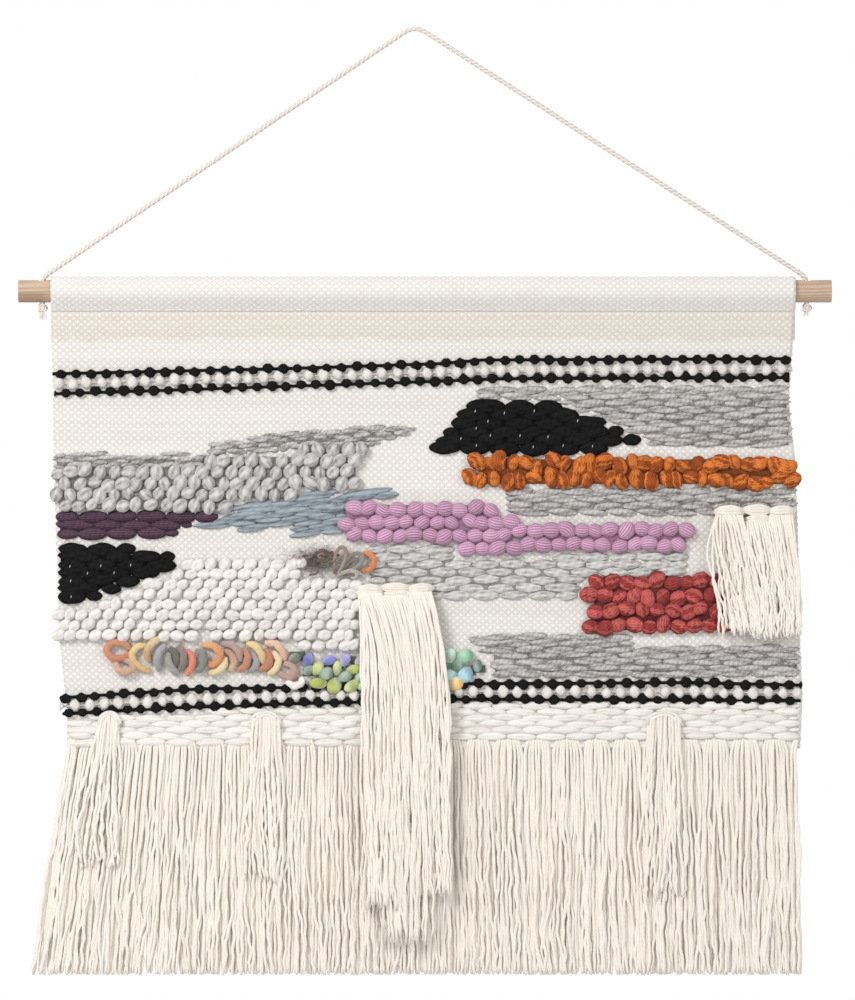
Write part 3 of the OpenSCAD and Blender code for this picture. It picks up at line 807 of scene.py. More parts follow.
heather = yarn_finish("grey heather wool", dye(206, 202, 199), dye(60, 57, 55), lay=0.004,
                      depth=0.0003, gap=0.75, mottle=0.8, fibre=0.25)
pale_grey = yarn_finish("pale grey wool", dye(224, 222, 219), dye(60, 56, 54), lay=0.006,
                        depth=0.0003, gap=0.75, mottle=0.4)
plum_wool = yarn_finish("plum wool", dye(108, 81, 97), dye(24, 14, 21), lay=0.004, gap=0.8,
                        mottle=0.6, sheen=0.02, shine=0.15)
blue_wool = yarn_finish("blue wool", dye(168, 179, 186), dye(44, 52, 60), lay=0.008,
                        gap=0.75, mottle=0.3)
cream_cotton = yarn_finish("cream cotton", dye(245, 241, 235), dye(176, 166, 156), lay=0.005,
                           depth=0.0002, gap=0.5, mottle=0.16, fibre=0.06)
FLAT_FIELDS = [
    ("thin_grey_soumak", heather, "grey_wool",
     dict(row=0.0036, half=0.0022, thick=0.0012, pitch=0.0170, slope=0.055, rise=0.12, plies=2,
          groove=0.12, wind=1.6, blunt=1.9, overlap=1.14, uneven=0.10, seed=31)),
    ("grey_soumak_top", heather, "grey_wool",
     dict(row=0.0054, half=0.0032, thick=0.0016, rise=0.10, plies=3, groove=0.10, wind=1.2,
          blunt=1.8, overlap=1.12, uneven=0.07, seed=32)),
    ("grey_soumak_middle", heather, "grey_wool",
     dict(row=0.0054, half=0.0032, thick=0.0016, rise=0.10, plies=3, groove=0.10, wind=1.2,
          blunt=1.8, overlap=1.12, uneven=0.07, seed=33)),
    ("grey_soumak_low", heather, "grey_wool",
     dict(row=0.0050, half=0.0030, thick=0.0016, rise=0.07, plies=3, groove=0.10, wind=1.2,
          blunt=1.8, overlap=1.12, uneven=0.07, seed=34)),
    ("grey_soumak_light", pale_grey, "silver_wool",
     dict(row=0.0062, half=0.0041, thick=0.0018, pitch=0.0226, rise=0.02, plies=6, groove=0.07,
          wind=0.5, blunt=1.5, overlap=1.08, uneven=0.05, seed=35,
          more=[(0.110, 0.132, -0.4205), (0.132, 0.155, -0.4208), (0.155, 0.178, -0.4205),
                (0.178, 0.201, -0.4208), (0.200, 0.219, -0.4205)])),
    ("plum_floats", plum_wool, "plum_wool",
     dict(row=0.0068, half=0.0050, thick=0.0018, pitch=0.0232, rise=0.02, plies=14, groove=0.26,
          wind=0.0, sides=28, blunt=2.4, overlap=1.08, start=-0.001, uneven=0.06, seed=36)),
    ("blue_soumak", blue_wool, "blue_wool",
     dict(row=0.0041, half=0.0028, thick=0.0018, pitch=0.0215, slope=0.085, rise=0.06, plies=3,
          groove=0.05, wind=0.8, blunt=1.7, overlap=1.14, uneven=0.06, seed=37,
          more=[(-0.096, -0.060, -0.3710), (-0.060, -0.020, -0.3698), (-0.106, -0.066, -0.3748),
                (-0.142, -0.104, -0.3778), (-0.172, -0.136, -0.3830), (-0.140, -0.100, -0.3822),
                (-0.100, -0.062, -0.3772), (-0.126, -0.092, -0.3795), (-0.154, -0.118, -0.3862)])),
    ("black_roving", black_wool, "black_wool",
     dict(row=0.0064, half=0.0058, thick=0.0024, rise=0.02, plies=5, groove=0.12, wind=1.0,
          blunt=1.9, overlap=1.04, start=-0.0026, uneven=0.06, least=0.85, shortest=0.5, seed=38)),
    ("black_mountain", black_wool, "black_wool",
     dict(row=0.0066, half=0.0058, thick=0.0024, rise=0.02, plies=5, groove=0.12, wind=1.0,
          blunt=1.9, overlap=1.06, uneven=0.06, least=0.85, shortest=0.5, seed=39)),
]
for number, (node, finish, slot, shape) in enumerate(FLAT_FIELDS):
    # Under the wraps lies a bed of the same yarn, painted dark as the shade in the gaps.
    parts = [wrapped_rows(node, **shape), shaded_bed_rows(node, shape["row"], shape.get("slope", 0.0)),
             tails_behind(node, 350 + number)]
    if finish in (heather, black_wool, plum_wool):
        parts.append(loose_hairs(node, 260, 0.0050, 310 + number))
    make_piece("wrapped_" + node, parts, finish, "panel", [node])

# Where two wraps of a black field meet, a little of the pale warp shows.
specks = []
for node, step in (("black_mountain", 0.0066), ("black_roving", 0.0064)):
    low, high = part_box(node)
    for k, level in enumerate(np.arange(high.z - 0.0090, low.z + 0.002, -step)):
        cuts = row_cuts(node, level, 0.0, WRAP_PITCH, (low.x + high.x) / 2 + (k % 2) * 0.0118, 0.008)
        specks += [(a, level) for a, _ in cuts[1:]]
random = np.random.default_rng(39)
specks = np.array(specks)[random.uniform(0, 1, len(specks)) < 0.55]
specks = specks + random.normal(0, 0.0009, specks.shape)
s = np.linspace(-1, 1, 7)
x, z = specks[:, :1] + 0.0003 * s, specks[:, 1:] + 0.0013 * s
path = np.stack([x, sway(x, z) - CLOTH_HALF - 0.0046 + 0.0012 * s ** 2, z], -1)
thin = 0.00030 * (1.05 - s ** 4)
make_piece("warp_between_black_wraps", [yarn_tubes(path, thin, thin, sides=6)], pale_grey,
           "panel")

# ---- Looped pile ----
# Thick roving and many-stranded wool pulled up between the warps in rows of round loops,
# each row half a loop along from the last, so packed that the loops press each other square.


def pile_loops(node, pitch, row, wide, tall, proud, lean=0.2, plies=7, groove=0.08, wind=0.3,
               plump=2.4, sides=14, rings=11, base=0.0, first=None, runs=(), bend=0.0,
               uneven=0.09, seed=0):
    """Round loops, every second row half a pitch along, inside a node's outline or along
    its runs, given as height, left end, right end. A loop's own line lies at an angle in the
    cloth's plane, and along it s runs from -1 to 1. It bows to one side by a chance share of
    bend (0.6 - s^2), both half widths are 0.03 + 0.97 (1 - |s|^plump)^(1 / plump) of the
    whole, and it stands off the cloth by its thickness. Without runs, loops just past the
    outline's ends are drawn back inside it."""
    random = np.random.default_rng(seed)
    low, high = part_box(node)
    levels = np.arange(first, low.z + tall * 0.2, -row) if first else np.array([r[0] for r in runs])
    columns = np.arange(int((high.x - low.x) / pitch) + 3)
    x = low.x + wide * 0.5 + (columns + 0.5 * (np.arange(len(levels))[:, None] % 2) - 1) * pitch
    z = np.broadcast_to(levels[:, None], x.shape)
    x = x.ravel() + random.normal(0, uneven * pitch, x.size)
    z = z.ravel() + random.normal(0, uneven * row, z.size)
    slack = 0.34 * pitch
    if runs:
        ends = np.repeat(np.array(runs), len(columns), 0)
        kept = (x > ends[:, 1]) & (x < ends[:, 2])
    else:
        held, left, right = inside(node, x, z), inside(node, x - slack, z), inside(node, x + slack, z)
        x = x + 0.8 * slack * (right.astype(float) * ~left - left.astype(float) * ~right)
        kept = held | left | right
    x, z = x[kept, None], z[kept, None]
    count = len(x)
    s = np.sin(np.linspace(-math.pi / 2, math.pi / 2, rings))
    full = np.maximum(1 - np.abs(s) ** plump, 0) ** (1 / plump) * 0.97 + 0.03
    angle = base + random.normal(0, 1, (count, 1)) * lean
    size = random.uniform(1 - 1.3 * uneven, 1 + 1.3 * uneven, (count, 1))
    bow = bend * wide * random.normal(0, 1, (count, 1)) * (0.6 - s ** 2)
    path_x = x + (np.cos(angle) * wide * s - np.sin(angle) * bow) * size
    path_z = z + (np.sin(angle) * wide * s + np.cos(angle) * bow) * size
    deep = proud * 0.5 * size
    path_y = sway(x, z) - CLOTH_HALF + 0.0006 - deep * (0.55 + 0.45 * full)
    twist = wind * s
    if wind:
        twist = twist + random.uniform(0, 2 * np.pi, (count, 1))
    return yarn_tubes(np.stack([path_x, path_y, path_z], -1), tall * full * size, deep * full,
                      sides=sides, plies=plies, groove=groove, twist=twist,
                      tone=random.uniform(0, 1, count), rim=0.9)


silver_wool = yarn_finish("silver wool", dye(220, 217, 215), dye(44, 41, 39), lay=0.006,
                          depth=0.0004, gap=0.8, mottle=0.55, sheen=0.2)
pink_wool = yarn_finish("pink wool", dye(242, 190, 222), dye(92, 40, 74), lay=0.004,
                        depth=0.0002, gap=0.8, mottle=0.2, fibre=0.05)
rust_wool = yarn_finish("rust wool", dye(240, 136, 60), dye(38, 12, 3), dye(150, 60, 22),
                        lay=0.004, depth=0.0002, gap=0.9, mottle=0.4, sheen=0.04, fibre=0.05)
red_wool = yarn_finish("red wool", dye(222, 108, 103), dye(38, 7, 9), dye(150, 46, 47),
                       lay=0.004, depth=0.0002, gap=0.9, mottle=0.4, sheen=0.04, fibre=0.05)
PILE_FIELDS = [
    ("grey_loops", silver_wool, "silver_wool",
     dict(pitch=0.0116, row=0.0088, wide=0.0059, tall=0.0054, proud=0.0078, lean=0.6, plump=1.9,
          base=1.1, plies=5, groove=0.04, uneven=0.08, seed=41,
          runs=[(-0.3350, -0.098, -0.042), (-0.3438, -0.171, -0.044), (-0.3528, -0.289, -0.043),
                (-0.3616, -0.289, -0.045), (-0.3704, -0.289, -0.096), (-0.3790, -0.289, -0.146)])),
    ("white_loops", white_wool, "white_wool",
     dict(pitch=0.0108, row=0.0081, wide=0.0055, tall=0.0047, proud=0.0078, lean=0.28, plump=2.0,
          base=0.55, plies=5, groove=0.03, first=-0.4262, uneven=0.06, seed=42)),
    ("pink_loops", pink_wool, "pink_wool",
     dict(pitch=0.0121, row=0.0110, wide=0.0067, tall=0.0063, proud=0.0078, lean=0.40,
          plies=15, groove=0.26, sides=30, wind=0.0, plump=2.0, bend=0.18, uneven=0.06, seed=43,
          runs=[(-0.3826, -0.060, 0.066), (-0.3930, -0.060, 0.080), (-0.4032, -0.060, 0.083),
                (-0.4136, 0.034, 0.083), (-0.3993, 0.083, 0.222), (-0.4108, 0.083, 0.222)])),
    ("rust_loops", rust_wool, "rust_wool",
     dict(pitch=0.0104, row=0.0120, wide=0.0070, tall=0.0064, proud=0.0078, lean=1.0,
          plies=15, groove=0.36, sides=30, wind=0.5, plump=2.1, bend=0.30, uneven=0.11, seed=44,
          runs=[(-0.3462, 0.046, 0.303), (-0.3584, 0.034, 0.304)])),
    ("red_loops", red_wool, "red_wool",
     dict(pitch=0.0120, row=0.0118, wide=0.0067, tall=0.0066, proud=0.0078, lean=0.5,
          plies=15, groove=0.36, sides=30, wind=0.4, plump=2.1, bend=0.20, uneven=0.06, seed=45,
          runs=[(-0.4402, 0.138, 0.251), (-0.4519, 0.138, 0.251), (-0.4636, 0.138, 0.251),
                (-0.4752, 0.138, 0.302)])),
]
# Beds, painted dark as the shade between the loops, lie along each row that is given, and halfway between
# two that run side by side.
NEXT_ROW = 0.0140
SHARED_RUN = 0.020
for number, (node, finish, slot, shape) in enumerate(PILE_FIELDS):
    runs = shape.get("runs", [])
    between = [((a[0] + b[0]) / 2, max(a[1], b[1]), min(a[2], b[2])) for a in runs for b in runs
               if 0 < a[0] - b[0] < NEXT_ROW and min(a[2], b[2]) - max(a[1], b[1]) > SHARED_RUN]
    shaded_bed = shaded_bed_rows(node, shape["row"] * 0.6, proud=0.0018, short=shape["wide"] * 0.8,
                   margin=shape["tall"], runs=runs + between,
                   half=shape["tall"] * 0.58 if runs else None)
    make_piece("pile_" + node, [pile_loops(node, **shape), shaded_bed, tails_behind(node, 360 + number)],
               finish, "panel", [node])

# ---- Sunset loops ----
# Felted roving dyed in sunset colours, each length pulled up as a tall open loop that leans
# on the next, so that a row of crescents shows. Its colour changes along the length.

SUNSET_LOOPS = [
    ([(-0.2286, -0.4946), (-0.2302, -0.4907), (-0.2363, -0.4885), (-0.2439, -0.4896),
      (-0.2470, -0.4957), (-0.2428, -0.5011), (-0.2341, -0.5017), (-0.2277, -0.4973)],
     (206, 140, 104), (196, 124, 90)),
    ([(-0.2395, -0.5039), (-0.2379, -0.5105), (-0.2313, -0.5130), (-0.2247, -0.5099),
      (-0.2264, -0.5044), (-0.2324, -0.5028)], (216, 166, 136), (186, 152, 128)),
    ([(-0.2028, -0.4849), (-0.2094, -0.4885), (-0.2138, -0.4940), (-0.2145, -0.4995),
      (-0.2116, -0.5039)], (226, 203, 160), (196, 150, 104)),
    ([(-0.2149, -0.4915), (-0.2220, -0.4918), (-0.2266, -0.4978), (-0.2247, -0.5050),
      (-0.2182, -0.5094), (-0.2116, -0.5121)], (232, 208, 146), (212, 170, 108)),
    ([(-0.1968, -0.4973), (-0.1973, -0.5033), (-0.1940, -0.5099), (-0.1891, -0.5141)],
     (150, 148, 142), (160, 158, 152)),
    ([(-0.1998, -0.4910), (-0.2044, -0.4957), (-0.2064, -0.5028), (-0.2044, -0.5116)],
     (172, 170, 178), (146, 150, 146)),
    ([(-0.1962, -0.4935), (-0.1913, -0.4968), (-0.1902, -0.5028), (-0.1918, -0.5077)],
     (88, 86, 82), (104, 100, 94)),
    ([(-0.1891, -0.4915), (-0.1847, -0.4978), (-0.1849, -0.5050), (-0.1880, -0.5110)],
     (140, 120, 108), (120, 112, 104)),
    ([(-0.1750, -0.4957), (-0.1693, -0.4968), (-0.1687, -0.5039), (-0.1710, -0.5105),
      (-0.1754, -0.5110)], (130, 134, 126), (118, 122, 114)),
    ([(-0.1823, -0.4951), (-0.1776, -0.5006), (-0.1779, -0.5077), (-0.1827, -0.5149)],
     (222, 122, 112), (222, 134, 86)),
    ([(-0.1516, -0.5006), (-0.1523, -0.5066), (-0.1573, -0.5119), (-0.1644, -0.5138)],
     (236, 216, 172), (226, 200, 146)),
    ([(-0.1699, -0.4910), (-0.1611, -0.4913), (-0.1553, -0.4968), (-0.1573, -0.5039),
      (-0.1628, -0.5075), (-0.1658, -0.5042)], (226, 168, 98), (212, 126, 84)),
    ([(-0.1516, -0.4946), (-0.1461, -0.4984), (-0.1441, -0.5050), (-0.1480, -0.5112)],
     (186, 134, 110), (206, 176, 142)),
    ([(-0.1375, -0.4932), (-0.1331, -0.4995), (-0.1349, -0.5072), (-0.1410, -0.5112)],
     (186, 132, 108), (196, 124, 84)),
    ([(-0.1545, -0.4900), (-0.1463, -0.4902), (-0.1408, -0.4957), (-0.1392, -0.5036)],
     (170, 145, 150), (182, 150, 140)),
    ([(-0.1299, -0.4965), (-0.1263, -0.5028), (-0.1274, -0.5086), (-0.1326, -0.5119)],
     (166, 160, 166), (150, 146, 150)),
    ([(-0.1200, -0.4946), (-0.1156, -0.5000), (-0.1169, -0.5068), (-0.1238, -0.5112)],
     (186, 116, 96), (196, 124, 78)),
    ([(-0.1345, -0.4893), (-0.1277, -0.4913), (-0.1224, -0.4984), (-0.1209, -0.5057)],
     (232, 208, 150), (222, 190, 130)),
    ([(-0.1134, -0.4965), (-0.1085, -0.5025), (-0.1110, -0.5097), (-0.1172, -0.5145)],
     (236, 221, 182), (230, 206, 160)),
    ([(-0.1198, -0.4893), (-0.1110, -0.4896), (-0.1057, -0.4957), (-0.1037, -0.5028)],
     (231, 197, 166), (222, 170, 152)),
    ([(-0.0898, -0.5170), (-0.0912, -0.5220), (-0.0969, -0.5236), (-0.1026, -0.5200)],
     (246, 241, 236), (240, 232, 224)),
    ([(-0.1046, -0.5053), (-0.0980, -0.5068), (-0.0956, -0.5130), (-0.1002, -0.5174),
      (-0.1096, -0.5127)], (190, 158, 144), (172, 140, 124)),
]


def felted_loop(line, first, second, radius, lift, seed, low=0.0016):
    """One length of roving along a line in the cloth's plane. It rises from the cloth by
    lift sin(pi t)^0.6, is thinner at its ends, and fades from its first colour to its second."""
    random = np.random.default_rng(seed)
    line = np.array([(x, 0.0, z) for x, z in line])
    path = along_line(line, 34)
    t = np.linspace(0, 1, 34)
    rise = np.sin(np.pi * np.clip(t, 0.02, 0.98)) ** 0.6
    path[:, 1] = sway(path[:, 0], path[:, 2]) - CLOTH_HALF - low - lift * rise
    width = radius * (0.72 + 0.28 * rise)
    width = width * (1 + 0.05 * np.sin(t * random.uniform(8, 16) + random.uniform(0, 6)))
    part = yarn_tubes(path[None], width, width * 0.85, sides=14, plies=5, groove=0.07,
                      twist=np.linspace(0, 3, 34)[None], tone=random.uniform(0, 1))
    share = np.clip(part["values"]["along"] / part["values"]["along"].max(), 0, 1)[:, None]
    share = np.clip(share + 0.12 * np.sin(share * 9 + random.uniform(0, 6)), 0, 1)
    colour = (1 - share) * np.array(dye(*first)) + share * np.array(dye(*second))
    part["values"]["dyed"] = np.hstack([colour, np.ones_like(share)])
    return part


def felt_finish(name):
    """Felted roving in the colour kept at each point, darker in soft cloudy patches, with
    painted shade in its folds and in its slanting fibre grooves, and a bloom of loose fibre."""
    finish = Finish(name, sheen=0.4)
    colour = finish.kept("dyed", colour=True)
    cloudy = finish.patches(300, 3.0)
    fibres = finish.patches(1400, 2.0, (1, 1, 0.4))
    slant = (finish.kept("along") * 900.0 + finish.kept("lateral") * 3.0).wave()
    # deep, the kept colour darkened, shows in the cloudy patches and as painted shade where the crown is
    # low and in the fibre grooves.
    deep = finish.mixed(1.0, colour, dye(148, 136, 130), "MULTIPLY")
    colour = finish.mixed(0.06, colour, dye(214, 206, 198))
    share = 1.25 - (cloudy - 0.35) * 0.8 - (fibres - 0.5) * 0.7 - (1 - slant) * 0.12
    share = share * ((finish.kept("crown") ** 0.6) * 0.35 + 0.65)
    return finish.paint(finish.mixed(share, deep, colour), cloudy * 0.8 + fibres + slant * 0.3, 0.0004)


felted = felt_finish("felted roving")
loops = [felted_loop(line, first, second, 0.0031, 0.0024 + 0.0011 * (k % 3), 60 + k)
         for k, (line, first, second) in enumerate(SUNSET_LOOPS)]
make_piece("felted_sunset_loops", loops, felted, "panel", ["sunset_loops"])

# ---- Brown curls ----
# A few open curls of hairy brown, olive and orange wool at the edge of the white pile, with
# loose hairs standing out of the brown and the olive ones.

CURLS = [
    ([(-0.0641, -0.4342), (-0.0646, -0.4245), (-0.0627, -0.4158), (-0.0588, -0.4119),
      (-0.0549, -0.4139), (-0.0552, -0.4206), (-0.0583, -0.4284), (-0.0617, -0.4342)],
     (120, 92, 78), (176, 152, 138), 0.0016),
    ([(-0.0593, -0.4342), (-0.0569, -0.4265), (-0.0515, -0.4192), (-0.0447, -0.4168),
      (-0.0409, -0.4202), (-0.0433, -0.4260), (-0.0506, -0.4308), (-0.0573, -0.4342)],
     (112, 106, 92), (150, 146, 134), 0.0018),
    ([(-0.0585, -0.4318), (-0.0530, -0.4258), (-0.0480, -0.4222), (-0.0455, -0.4226),
      (-0.0490, -0.4270), (-0.0560, -0.4310)], (92, 88, 78), (128, 124, 112), 0.0014),
    ([(-0.0627, -0.4366), (-0.0583, -0.4333), (-0.0515, -0.4313), (-0.0457, -0.4328),
      (-0.0418, -0.4352)], (156, 152, 140), (186, 180, 170), 0.0018),
    ([(-0.0544, -0.4362), (-0.0525, -0.4328), (-0.0486, -0.4318), (-0.0462, -0.4347),
      (-0.0481, -0.4373), (-0.0515, -0.4371)], (120, 116, 108), (206, 200, 190), 0.0011),
    ([(-0.0414, -0.4177), (-0.0365, -0.4177), (-0.0324, -0.4216), (-0.0331, -0.4274),
      (-0.0370, -0.4313), (-0.0428, -0.4313)], (224, 128, 66), (214, 116, 60), 0.0023),
]
random = np.random.default_rng(81)
parts = [felted_loop(line, first, second, radius, 0.0044 - 0.0004 * (k % 3), 82 + k)
         for k, (line, first, second, radius) in enumerate(CURLS)]
for k in range(16):
    a = random.uniform(0, 2 * np.pi)
    middle = np.array([-0.0775, -0.4232]) + random.normal(0, 1, 2) * (0.0072, 0.0036)
    reach_x, reach_z = random.uniform(0.003, 0.0065), random.uniform(0.0015, 0.0035)
    turn = a + np.linspace(0, random.uniform(3.5, 6.0), 9)
    bow = [(middle[0] + reach_x * math.cos(u), middle[1] + reach_z * math.sin(u)) for u in turn]
    brown = np.array((84, 60, 50)) + random.uniform(-22, 30)
    parts.append(felted_loop(bow, brown, brown + 22, random.uniform(0.0008, 0.0013),
                             random.uniform(0.001, 0.0045), 100 + k))
for k in range(420):
    dark = k % 4 != 3
    root = random.normal(0, 1, 2) * (0.0095, 0.0046) + ((-0.0790, -0.4225) if dark else (-0.0600, -0.4285))
    heading = random.uniform(0, 2 * np.pi)
    length = random.uniform(0.004, 0.009)
    bend = random.normal(0, 0.9)
    u = np.linspace(0, 1, 5)
    hair = [(root[0] + length * w * math.cos(heading + bend * w), root[1] + length * w * math.sin(
        heading + bend * w)) for w in u]
    tint = np.array((116, 92, 78) if dark else (150, 144, 130)) + random.uniform(-20, 40)
    line = np.array([(x, 0.0, z) for x, z in hair])[None]
    line[..., 1] = -CLOTH_HALF - random.uniform(0.003, 0.0075) + 0.0015 * u
    hair_part = yarn_tubes(line, 0.00014 * (1.2 - u), 0.00014 * (1.2 - u), sides=4)
    count = len(hair_part["points"])
    hair_part["values"]["dyed"] = np.tile([*dye(*tint), 1.0], (count, 1))
    parts.append(hair_part)
make_piece("brown_curled_wool", parts, felted, "panel", ["brown_curls"])

# ---- Moss nubs ----
# Small round nubs of felted wool in moss, lime, violet and sea greens, pulled through in
# staggered rows either side of the long tassel.

LIME, LIME_DEEP, VIOLET, TEAL = (186, 198, 122), (166, 178, 84), (118, 122, 198), (126, 154, 132)
MINT, SEA, PALE_SEA, AMBER = (192, 224, 206), (132, 190, 152), (172, 212, 214), (236, 196, 124)
NUBS_LEFT = [
    (-0.0961, -0.5016, 0.0040, 0.0036, 0.3, (96, 106, 88)),
    (-0.0855, -0.5030, 0.0046, 0.0036, 1.2, VIOLET), (-0.0690, -0.5030, 0.0050, 0.0036, 0.2, VIOLET),
    (-0.0559, -0.5030, 0.0044, 0.0036, 1.0, (166, 166, 222)),
    (-0.0777, -0.5093, 0.0052, 0.0040, 1.0, LIME), (-0.0622, -0.5093, 0.0050, 0.0032, 1.5, LIME),
    (-0.0486, -0.5103, 0.0054, 0.0034, 0.1, LIME_DEEP),
    (-0.0709, -0.5137, 0.0050, 0.0044, 0.6, TEAL), (-0.0559, -0.5161, 0.0050, 0.0038, 0.3, TEAL),
    (-0.0772, -0.5215, 0.0062, 0.0038, 0.0, LIME_DEEP), (-0.0646, -0.5234, 0.0056, 0.0050, 1.2, LIME_DEEP),
    (-0.0501, -0.5234, 0.0060, 0.0040, 0.5, LIME), (-0.0428, -0.5161, 0.0044, 0.0036, 0.4, MINT),
    (-0.0405, -0.5236, 0.0048, 0.0036, 0.2, (186, 216, 188)), (-0.0852, -0.5110, 0.0036, 0.0032, 0.8, TEAL),
    (-0.0430, -0.5030, 0.0046, 0.0036, 0.6, (196, 198, 204)),
]
NUBS_RIGHT = [
    (0.0275, -0.5001, 0.0056, 0.0048, 1.3, MINT), (0.0396, -0.5001, 0.0060, 0.0050, 0.5, SEA),
    (0.0333, -0.5074, 0.0050, 0.0042, 0.9, (104, 140, 116)),
    (0.0275, -0.5147, 0.0054, 0.0046, 0.2, PALE_SEA),
    (0.0401, -0.5147, 0.0058, 0.0052, 0.9, (148, 200, 216)),
    (0.0323, -0.5215, 0.0058, 0.0052, 0.3, AMBER),
    (0.0250, -0.5075, 0.0040, 0.0036, 0.4, (70, 110, 96)),
    (0.0500, -0.5075, 0.0040, 0.0030, 1.4, (90, 130, 120)),
    (0.0230, -0.5230, 0.0040, 0.0036, 0.4, (210, 220, 190)),
]


def felted_nubs(nubs, seed):
    """Round nubs, each a short fat yarn over a flat dark olive plate of felt, painted shade
    between the nubs: along s its half widths are 0.03 + 0.97 (1 - |s|^2.2)^(1 / 2.2) of the
    whole, and six soft plies crease it. Its dye comes and goes by two slow waves, one of them
    towards undyed wool."""
    random = np.random.default_rng(seed)
    parts = []
    s = np.sin(np.linspace(-math.pi / 2, math.pi / 2, 15))
    full = np.maximum(1 - np.abs(s) ** 2.2, 0) ** (1 / 2.2) * 0.97 + 0.03
    for x, z, long, wide, angle, colour in nubs:
        long, wide = long * 1.12, wide * 1.18
        path = np.zeros((1, 15, 3))
        path[0, :, 0] = x + math.cos(angle) * long * s
        path[0, :, 2] = z + math.sin(angle) * long * s
        path[0, :, 1] = sway(x, z) - CLOTH_HALF - 0.0034 * (0.5 + 0.5 * full)
        part = yarn_tubes(path, wide * full, 0.0040 * full, sides=18, plies=6, groove=0.10,
                          twist=0.8 * s + random.uniform(0, 6), tone=random.uniform(0, 1))
        count = len(part["points"])
        along, lateral = part["values"]["along"][:, None], part["values"]["lateral"][:, None]
        shade = 1 + 0.26 * np.sin(along * 500 + random.uniform(0, 6))
        pale = 0.30 * (0.5 + 0.5 * np.sin(along * 330 + lateral * 1.5 + random.uniform(0, 6))) ** 3
        shade = np.array(dye(*colour)) * shade * (1 - pale) + np.array(dye(238, 240, 230)) * pale
        part["values"]["dyed"] = np.hstack([shade, np.ones((count, 1))])
        parts.append(part)
        # Painted shade: a flat dark olive plate under each nub stands for the shadow between the nubs.
        under = np.zeros((1, 7, 3))
        under[0, :, 0] = x + random.uniform(-0.003, 0.003) + 0.0060 * np.linspace(-1, 1, 7)
        under[0, :, 2] = z + random.uniform(-0.003, 0.003)
        under[0, :, 1] = sway(x, z) - CLOTH_HALF - 0.0008
        shade_plate = yarn_tubes(under, 0.0030, 0.0009, sides=8)
        shade_plate["values"]["dyed"] = np.tile([*dye(78, 84, 62), 1.0], (len(shade_plate["points"]), 1))
        parts.append(shade_plate)
    return parts


make_piece("felted_moss_nubs_left", felted_nubs(NUBS_LEFT, 91), felted, "panel",
           ["moss_nubs_left"])
make_piece("felted_moss_nubs_right", felted_nubs(NUBS_RIGHT, 92), felted, "panel",
           ["moss_nubs_right"])

# ---- Tassels over the cloth ----
# Lengths of cream cotton yarn laid over the cloth and bound to it at the top by sideways
# wraps of four strands each. The loose ends hang free from under the wraps.

YARN_R = 0.00135


def bound_wraps(wraps, plies=4):
    """Sideways wraps over a tassel's top. Each ply lies nearly level, comes closer to the
    middle one towards its ends by 1 - 0.8 s^2, arches over the tassel by 1 - |s|^3 and thins
    by 1 - 0.5 |s|^3. The outer plies lie a little nearer the cloth."""
    s = np.linspace(-1, 1, 21)
    paths, radii = [], []
    for x, z, half, tall, tilt in wraps:
        for k in range(plies):
            offset = (k - (plies - 1) / 2) / plies * tall
            path = np.zeros((21, 3))
            path[:, 0] = x + half * s
            path[:, 1] = -0.0044 - 0.0056 * (1 - np.abs(s) ** 3.0) + 0.0006 * abs(k - (plies - 1) / 2)
            path[:, 2] = z + offset * (1 - 0.8 * s ** 2) + tilt * s
            paths.append(path)
            radii.append(tall / plies * 0.60 * (1 - 0.5 * np.abs(s) ** 3))
    return yarn_tubes(np.array(paths), np.array(radii), np.array(radii), sides=12, plies=2,
                      groove=0.06, twist=4 * s, rim=0.9)


def hanging_yarns(top, foot, lean, wander, seed, radius=YARN_R, rings=44, sides=7, groups=4,
                  settle=0.10, bow=0.0, pinch=0.0):
    """Loose yarn ends from top to foot, t running from 0 to 1. Sideways each goes
    1 - (1 - t)^lean of the way, bows out by bow sin(pi t^0.65)^1.5 and is drawn in by
    pinch (1 - t / 0.08)^2 over the first part. Forwards it gets there by t = settle. It
    wanders by three slow waves and a fine crimp that grow with t, shared in part by the
    yarns of one group, and it thins at its very tip."""
    random = np.random.default_rng(seed)
    count = len(top)
    t = np.linspace(0, 1, rings) ** 1.25
    group = np.minimum(np.cumsum(random.uniform(0, 1, count) < 1 / groups), count - 1)
    path = np.zeros((count, rings, 3))
    sideways = 1 - (1 - t) ** lean
    forwards = np.clip(t / settle, 0, 1)
    forwards = forwards * forwards * (3 - 2 * forwards)
    path[..., 0] = top[:, :1] + (foot - top)[:, :1] * sideways
    path[..., 0] += np.reshape(bow, (-1, 1)) * np.sin(np.pi * t ** 0.65) ** 1.5
    path[..., 0] += np.reshape(pinch, (-1, 1)) * np.clip(1 - t / 0.08, 0, 1) ** 2
    path[..., 1] = top[:, 1:2] + (foot - top)[:, 1:2] * forwards
    path[..., 2] = top[:, 2:] + (foot - top)[:, 2:] * t
    grown = np.clip(t * 3, 0, 1) ** 0.7 * (0.45 + 0.55 * t)
    for axis, size in ((0, wander), (1, wander * 0.3)):
        for slow, own in ((0.8, 0.75), (2.0, 0.55), (4.3, 0.30), (8.5, 1.2)):
            shared = random.uniform(0, 2 * np.pi, count)[group][:, None]
            single = random.uniform(0, 2 * np.pi, (count, 1))
            height = random.uniform(0.1, 0.7, count)[group][:, None]
            wave = height * np.sin(2 * np.pi * slow * t + shared)
            wave = wave + own * random.uniform(0.3, 1.2, (count, 1)) * np.sin(
                2 * np.pi * slow * 1.3 * t + single)
            path[..., axis] += size / slow ** 0.8 * grown * wave
    thin = radius * random.uniform(0.86, 1.1, (count, 1)) * (1 - 0.45 * np.clip((t - 0.97) / 0.03, 0, 1))
    return yarn_tubes(path, thin, thin, sides=sides, tone=random.uniform(0, 1, count), rim=0.25)


